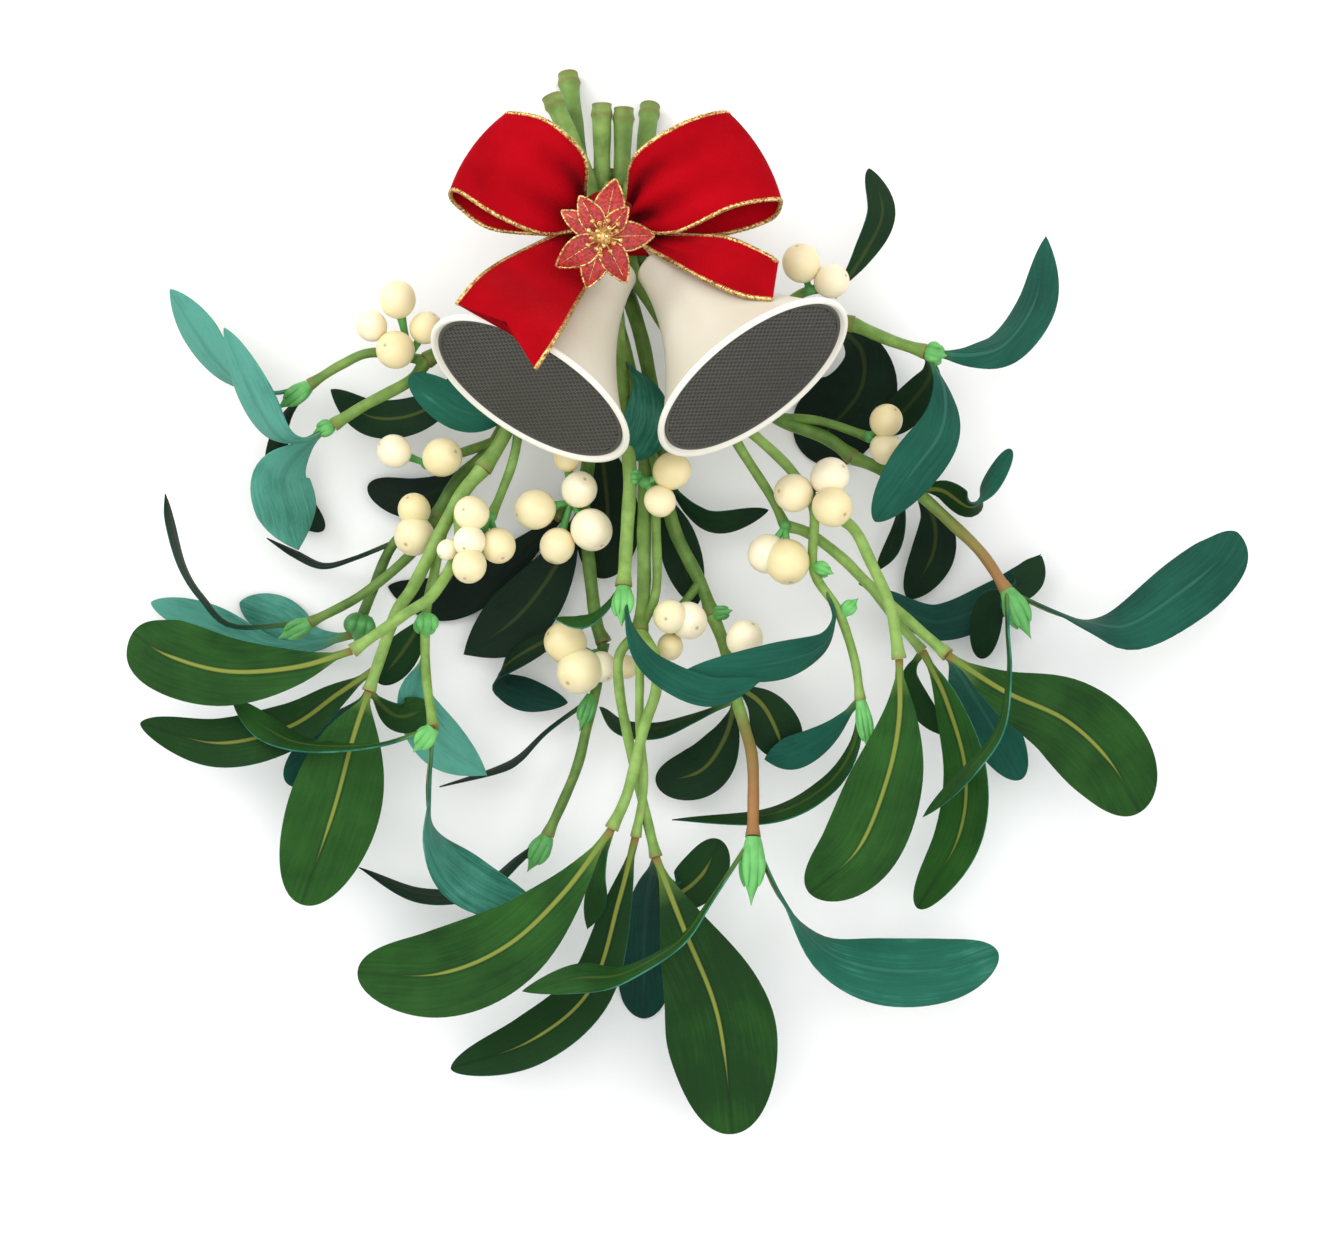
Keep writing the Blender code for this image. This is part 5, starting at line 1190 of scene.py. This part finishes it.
def strip_middle(cross_lines, notch, fold, bulge, loop):
    """Points across every row, the surface's normals, the painted light and shade on the folds and the
    middle's length.
    """
    lines = np.asarray(cross_lines, float)
    across = np.linspace(-1, 1, STRIP_COLUMNS)[None]
    u = np.linspace(0, 1, STRIP_ROWS)[:, None]
    middle = (curve_through(lines[:, 0], u[:, 0]) + curve_through(lines[:, 1], u[:, 0])) / 2
    length = length_along(middle)[-1]
    pulled = (u * (1 - notch / length * (1 - np.abs(across)))).reshape(-1)
    one, other = (curve_through(lines[:, edge], pulled).reshape(STRIP_ROWS, STRIP_COLUMNS, 3)
                  for edge in (0, 1))
    grid = one + (other - one) * (across[..., None] + 1) / 2
    away = (grid - TIE) * [1, 1, 0]
    grid = grid + unit(away) * (bulge * np.sin(np.pi * u)**2 * (1 - across**2))[..., None]
    normal = unit(np.cross(np.gradient(grid, axis=1), np.gradient(grid, axis=0)))
    from_knot = np.minimum(u, 1 - u) if loop else u
    turn = across * FOLD_TURN + 0.6 * np.sin(6 * u)
    folds = hump(from_knot, FOLD_REACH) * (1 - across**4) * np.cos(turn)
    puff = (1 - across**2) * np.sin(np.pi * np.clip(from_knot * (2 if loop else 1), 0, 1))
    shade = KNOT_SHADE * hump(from_knot, KNOT_SHADE_REACH)
    light = EVEN_LIGHT + FOLD_LIGHT * folds - shade + PUFF_LIGHT * puff
    return grid + normal * (fold * folds)[..., None], normal, np.clip(light, 0, 1), length


def strip_patch(grid, normal, light):
    """The two faces half a thickness either side of the middle, joined round both edges."""
    half = RIBBON_THICKNESS / 2
    ring = np.concatenate([grid + normal * half, (grid - normal * half)[:, ::-1]], 1)
    along = np.linspace(0, 1, STRIP_ROWS)[:, None]
    across = np.linspace(0, 1, STRIP_COLUMNS)
    uv = np.stack(np.broadcast_arrays(along, np.concatenate([across, across[::-1]])[None]), -1)
    return patch(ring, 0, uv, {"light": np.concatenate([light, light[:, ::-1]], 1).reshape(-1)})


def edge_wires(grid, seed):
    """A bumpy wound wire along each long edge: its radius varies by a few sines with no common period."""
    t = np.linspace(0, 1, EDGE_WIRE_STEPS)
    fast, slow = EDGE_WIRE_TURNS
    made = []
    for k, edge in enumerate((0, -1)):
        bumps = 1 + EDGE_WIRE_BUMP * np.sin(t * fast + seed + k) * np.sin(t * slow + 2 * seed)
        made.append(tube(curve_through(grid[:, edge], t), EDGE_WIRE_RADIUS * bumps, 10))
    return made


def ribbon_strip(node, cross_lines, notch, fold, bulge, loop, seed):
    """One strip of ribbon with its two wired edges."""
    name = node + "_velvet"
    grid, normal, light, length = strip_middle(cross_lines, notch, fold, bulge, loop)
    cloth = mesh_piece(name, [strip_patch(grid, normal, light)], [VELVET])
    cloth.data.set_sharp_from_angle(angle=SHARP_EDGE)
    wires = mesh_piece(name + "_gold_edges", edge_wires(grid, seed), [GOLD_THREAD])
    dress(cloth, node, slot="velvet_red")
    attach(wires, "root")


for seed, side in enumerate(LOOPS):
    ribbon_strip(f"bow_loop_{side}", LOOPS[side], 0.0, LOOP_FOLD, LOOP_BULGE, True, 1.3 + seed)
    ribbon_strip(f"bow_tail_{side}", TAILS[side], TAIL_NOTCH[side], TAIL_FOLD, 0.0, False, 4.1 + seed)

# %% [markdown]
# ## The band and the knot
# The band is the same ribbon wound tight round the stems, and the knot is its bulging crossing on top.
# The band is an elliptical tube with shallow creases; the knot is a pillow whose sides are gathered into
# grooves.

# %% Band and knot
BAND_HALF_LENGTH = 6.0
BAND_HALF_WIDTH = 11.1
BAND_HALF_HEIGHT = 8.1
BAND_HALF_THICKNESS = 0.5
BAND_ROWS, BAND_COLUMNS = 17, 72
BAND_CREASE = 0.16
KNOT_LUMPS = [((-13.5, 99.5, 38.0), (8.5, 6.5, 15.0)), ((-13.5, 102.0, 50.0), (5.2, 4.6, 6.5))]
KNOT_ROWS, KNOT_COLUMNS = 40, 64
KNOT_FIRST_RING = 0.02
KNOT_GROOVES = 7
KNOT_GROOVE = 0.07  # how deep they are, as a share of the radius
GROOVE_SHADE = 3.5  # how much darker, for each share of the radius


def band_patch():
    """Rings along the inside of the band and back along its creased outside; the last meets the first."""
    turn = full_turn(BAND_COLUMNS)[None]
    y = np.linspace(-1, 1, BAND_ROWS)[:, None]
    crease = BAND_CREASE * (np.cos(y * 9) - 1)
    walls = []
    for grow, ys in ((-BAND_HALF_THICKNESS, y), (BAND_HALF_THICKNESS + crease, y[::-1])):
        walls.append(np.stack(np.broadcast_arrays(TIE[0] + np.cos(turn) * (BAND_HALF_WIDTH + grow),
                                                  TIE[1] + ys * BAND_HALF_LENGTH,
                                                  TIE[2] + np.sin(turn) * (BAND_HALF_HEIGHT + grow)), -1))
    grid = np.concatenate(walls)
    rows = len(grid)
    # The band's creases get painted light and shade in their light value.
    light = on_rings({"light": 0.45 + 0.1 * np.cos(np.linspace(0, 9, rows))}, rows, BAND_COLUMNS)
    faces = ring_quads(rows + 1, BAND_COLUMNS) % (rows * BAND_COLUMNS)
    return patch(grid, values=light, caps=False, faces=faces)


def knot_patch(middle, sizes):
    """An ellipsoid whose radius dips in a few grooves that run from the top to the band."""
    angle = np.linspace(KNOT_FIRST_RING, np.pi - KNOT_FIRST_RING, KNOT_ROWS)[:, None]
    turn = full_turn(KNOT_COLUMNS)[None]
    gathered = np.abs(np.sin(KNOT_GROOVES / 2 * turn + 0.7 * np.sin(angle * 3)))**0.7 * np.sin(angle)
    groove = 1 - KNOT_GROOVE * gathered
    x = np.sin(angle) * np.cos(turn) * groove
    y = -np.sin(angle) * np.sin(turn) * groove
    z = np.broadcast_to(np.cos(angle), x.shape)
    grid = np.asarray(middle) + np.stack([x, y, z], -1) * np.asarray(sizes)
    # The grooves are painted darker too, as painted shade.
    return patch(grid, values={"light": (0.5 - GROOVE_SHADE * KNOT_GROOVE * gathered).reshape(-1)})


knot = mesh_piece("ribbon_knot_velvet", [knot_patch(*lump) for lump in KNOT_LUMPS], [VELVET])
dress(knot, "ribbon_tie", slot="velvet_red")
band = mesh_piece("ribbon_band_velvet", [band_patch()], [VELVET])
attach(band, "root")

# %% [markdown]
# ## The glitter flower
# A small pressed poinsettia is pinned on the knot. Its petals are pointed, covered in red glitter, and
# edged and veined with gold; gold beads stand on short stalks in the middle. A petal's width rises and
# falls like a sine to a sharp point, and the gold is a thin tube laid along its outline.

# %% Petals, outlines and beads
FLOWER = np.array([-13.9, 94.2, 67.0])
# Each petal: its heading in degrees, length, width and droop.
PETALS = [(78, 14.5, 6.5, 1.5), (120, 11.5, 5.0, 1.0), (148, 12.0, 4.5, 1.5), (212, 13.5, 6.0, 2.0),
          (252, 13.0, 6.0, 1.0), (297, 12.5, 5.5, 1.5), (2, 12.5, 6.0, 1.5), (50, 9.5, 4.0, 0.5)]
PETAL_ROWS, PETAL_COLUMNS = 26, 13
PETAL_THICKNESS = 0.6
PETAL_FOOT = 0.8  # how far out a petal starts
PETAL_ARCH = 0.8
PETAL_SIDES_DOWN = 0.35
EVERY_OTHER_UP = 0.5
OUTLINE_RADIUS = 0.27
OUTLINE_STEPS = 90
OUTLINE_BUMP = 0.18
OUTLINE_LIFT, VEIN_LIFT = 0.2, 0.32
VEIN_RADII = (0.18, 0.08)
VEIN_STEPS = 24
STALK_FOOT = (4.0, 56.9)  # how far it lies from under the flower towards the cut ends, and its height
STALK_RADIUS = 1.6
FLOWER_DISC_RADIUS = 3.2
NUDGE = 0.001  # keeps a tube's path off the vertical, where it has no level direction


def petal_surface(i, angle, length, width, droop):
    """Middle + out x share of the length + aside x half width; the height is an arch less the droop."""
    u = np.linspace(0, 1, PETAL_ROWS)
    across = np.linspace(-1, 1, PETAL_COLUMNS)[None]
    out = np.array([math.cos(math.radians(angle)), math.sin(math.radians(angle)), 0.0])
    aside = np.array([-out[1], out[0], 0.0])
    half = width / 2 * np.sin(np.pi * u**0.8)**0.85 * 1.15 + 0.12
    height = 1.0 + EVERY_OTHER_UP * (i % 2) + PETAL_ARCH * np.sin(np.pi * u) - droop * u**2
    middle = FLOWER + np.outer(PETAL_FOOT + u * (length - PETAL_FOOT), out)
    grid = middle[:, None] + (half[:, None] * across)[..., None] * aside
    grid[..., 2] += height[:, None] - PETAL_SIDES_DOWN * np.abs(across)**1.5 * np.sin(np.pi * u)[:, None]
    return grid


def petal_patches(i, petal):
    """The petal's closed body and its gold outline and midrib."""
    grid = petal_surface(i, *petal)
    up = np.array([0, 0, PETAL_THICKNESS / 2])
    body = np.concatenate([grid + up, (grid - up)[:, ::-1]], 1)[:, ::-1]
    round_it = np.concatenate([grid[1:, 0], grid[-2:0:-1, -1]])
    outline = curve_through(round_it, np.linspace(0, 1, OUTLINE_STEPS))
    bumps = 1 + OUTLINE_BUMP * np.sin(np.arange(OUTLINE_STEPS) * 2.1 + i)
    vein = curve_through(grid[2:-3, PETAL_COLUMNS // 2], np.linspace(0, 1, VEIN_STEPS))
    return [patch(body), tube(outline + [0, 0, OUTLINE_LIFT], OUTLINE_RADIUS * bumps, 8, slot=1),
            tube(vein + [0, 0, VEIN_LIFT], np.linspace(*VEIN_RADII, VEIN_STEPS), 8, slot=1)]


def upright(foot, rise, steps=4):
    """A path that goes straight up from its foot, but for a nudge."""
    return np.linspace(foot, foot + [NUDGE, NUDGE, rise], steps)


RED_GLITTER = glitter_finish("red_glitter_petal", "7c0a10", "c0281f", 0.1)
patches = [p for i, petal in enumerate(PETALS) for p in petal_patches(i, petal)]
stalk = np.linspace([FLOWER[0], FLOWER[1] + STALK_FOOT[0], STALK_FOOT[1]], FLOWER + [0, 0, 1.0], 6)
patches += [tube(stalk, STALK_RADIUS, 16), tube(upright(FLOWER, 2.0), FLOWER_DISC_RADIUS, 32)]
petals = mesh_piece("poinsettia_petals_glitter", patches, [RED_GLITTER, GOLD_THREAD])
petals.data.set_sharp_from_angle(angle=SHARP_EDGE)
dress(petals, "poinsettia_petals", slot="petal_red")

# %% [markdown]
# The beads are set out as a sunflower sets its seeds: each goes on by 2.4 radians, and its distance from
# the middle grows with the root of its number, which fills a disc evenly without rows.

# %% Gold beads at the middle
BEADS = 17
BEAD_RADIUS = 0.66
BEAD_STEP = 2.4
FIRST_BEAD, BEAD_SPREAD = 0.9, 0.95
BEAD_STALK_RADIUS = 0.22
BEAD_DISC_RADIUS = 2.4
BEAD_HEIGHT = 2.3
BEAD_LOWERING = 0.09  # each bead stands this much lower than the last
GOLD_BEADS = glitter_finish("gold_bead_metal", "c08a3c", "f6dd9c", 1.0)

top = FLOWER + [0, 0, 3.2]
patches = [tube(upright(top, 0.8), BEAD_DISC_RADIUS, 32)]
for i in range(BEADS):
    reach = FIRST_BEAD + BEAD_SPREAD * math.sqrt(i)
    out = np.array([math.cos(BEAD_STEP * i), math.sin(BEAD_STEP * i), 0.0]) * reach
    foot = top + 0.5 * out + [0, 0, 0.5]
    head = top + out + [0, 0, BEAD_HEIGHT - BEAD_LOWERING * i]
    patches += [tube(np.linspace(foot, head, 5), BEAD_STALK_RADIUS, 8), ball(head, BEAD_RADIUS)]
dress(mesh_piece("poinsettia_beads_gold", patches, [GOLD_BEADS]), "poinsettia_beads", slot="bead_gold")

# %% [markdown]
# ## The table, the light and the camera
# The bunch lies on a plain pale table top. Three large soft lights hang over it, one of them straight
# above, and the whole room is pale and shines too, so the shadows are faint. The camera hangs straight
# above with a long lens, far enough away that the top of the bells is drawn only a little larger than the
# leaves on the table.

# %% Table and soft lights
TABLE_HALF = 2.0
TABLE_DROP = 0.0001  # the table top lies a tenth of a millimetre lower than what rests on it
WORLD_STRENGTH = 0.92

corners = [(x * TABLE_HALF, y * TABLE_HALF, -TABLE_DROP) for x, y in ((-1, -1), (1, -1), (1, 1), (-1, 1))]
floor_mesh = bpy.data.meshes.new("table_top")
floor_mesh.from_pydata(corners, [], [(0, 1, 2, 3)])
floor = bpy.data.objects.new("table_top", floor_mesh)
bpy.context.scene.collection.objects.link(floor)
floor_mesh.materials.append(plain_finish("white_table", "fafafa", 0.9))


def soft_light(name, place, size, watts):
    """A square area light that looks at the bunch."""
    lamp = bpy.data.lights.new(name, "AREA")
    lamp.size = size
    lamp.energy = watts
    made = bpy.data.objects.new(name, lamp)
    made.location = place
    made.rotation_euler = (-Vector(place)).to_track_quat("-Z", "Y").to_euler()
    bpy.context.scene.collection.objects.link(made)
    print(f"{name}: {watts:.0f} W from {size:.1f} m across")


soft_light("overhead", (0.0, 0.15, 1.6), 1.6, 11.0)
soft_light("window_left", (-1.2, 0.9, 1.1), 1.0, 14.0)
soft_light("fill_right", (1.3, -0.2, 1.0), 1.0, 4.0)
world = bpy.data.worlds.new("pale_room")
bpy.context.scene.world = world
world.use_nodes = True
world.node_tree.nodes["Background"].inputs["Color"].default_value = (1.0, 1.0, 1.0, 1.0)
world.node_tree.nodes["Background"].inputs["Strength"].default_value = WORLD_STRENGTH
bpy.context.scene.view_settings.view_transform = "Standard"

# %% The camera straight above
CAMERA_HEIGHT = 3.0
FIELD_WIDTH = 0.33  # metres of the table that the frame is wide
SENSOR_WIDTH = 36.0
camera_data = bpy.data.cameras.new("overhead_camera")
camera_data.sensor_width = SENSOR_WIDTH
camera_data.lens = SENSOR_WIDTH * CAMERA_HEIGHT / FIELD_WIDTH
camera_data.clip_end = 10.0
print(f"camera: a {camera_data.lens:.0f} mm lens {CAMERA_HEIGHT:.0f} m above the table")
camera = bpy.data.objects.new("overhead_camera", camera_data)
camera.location = (*-LAYOUT_MIDDLE[:2] * MM, CAMERA_HEIGHT)
bpy.context.scene.collection.objects.link(camera)
bpy.context.scene.camera = camera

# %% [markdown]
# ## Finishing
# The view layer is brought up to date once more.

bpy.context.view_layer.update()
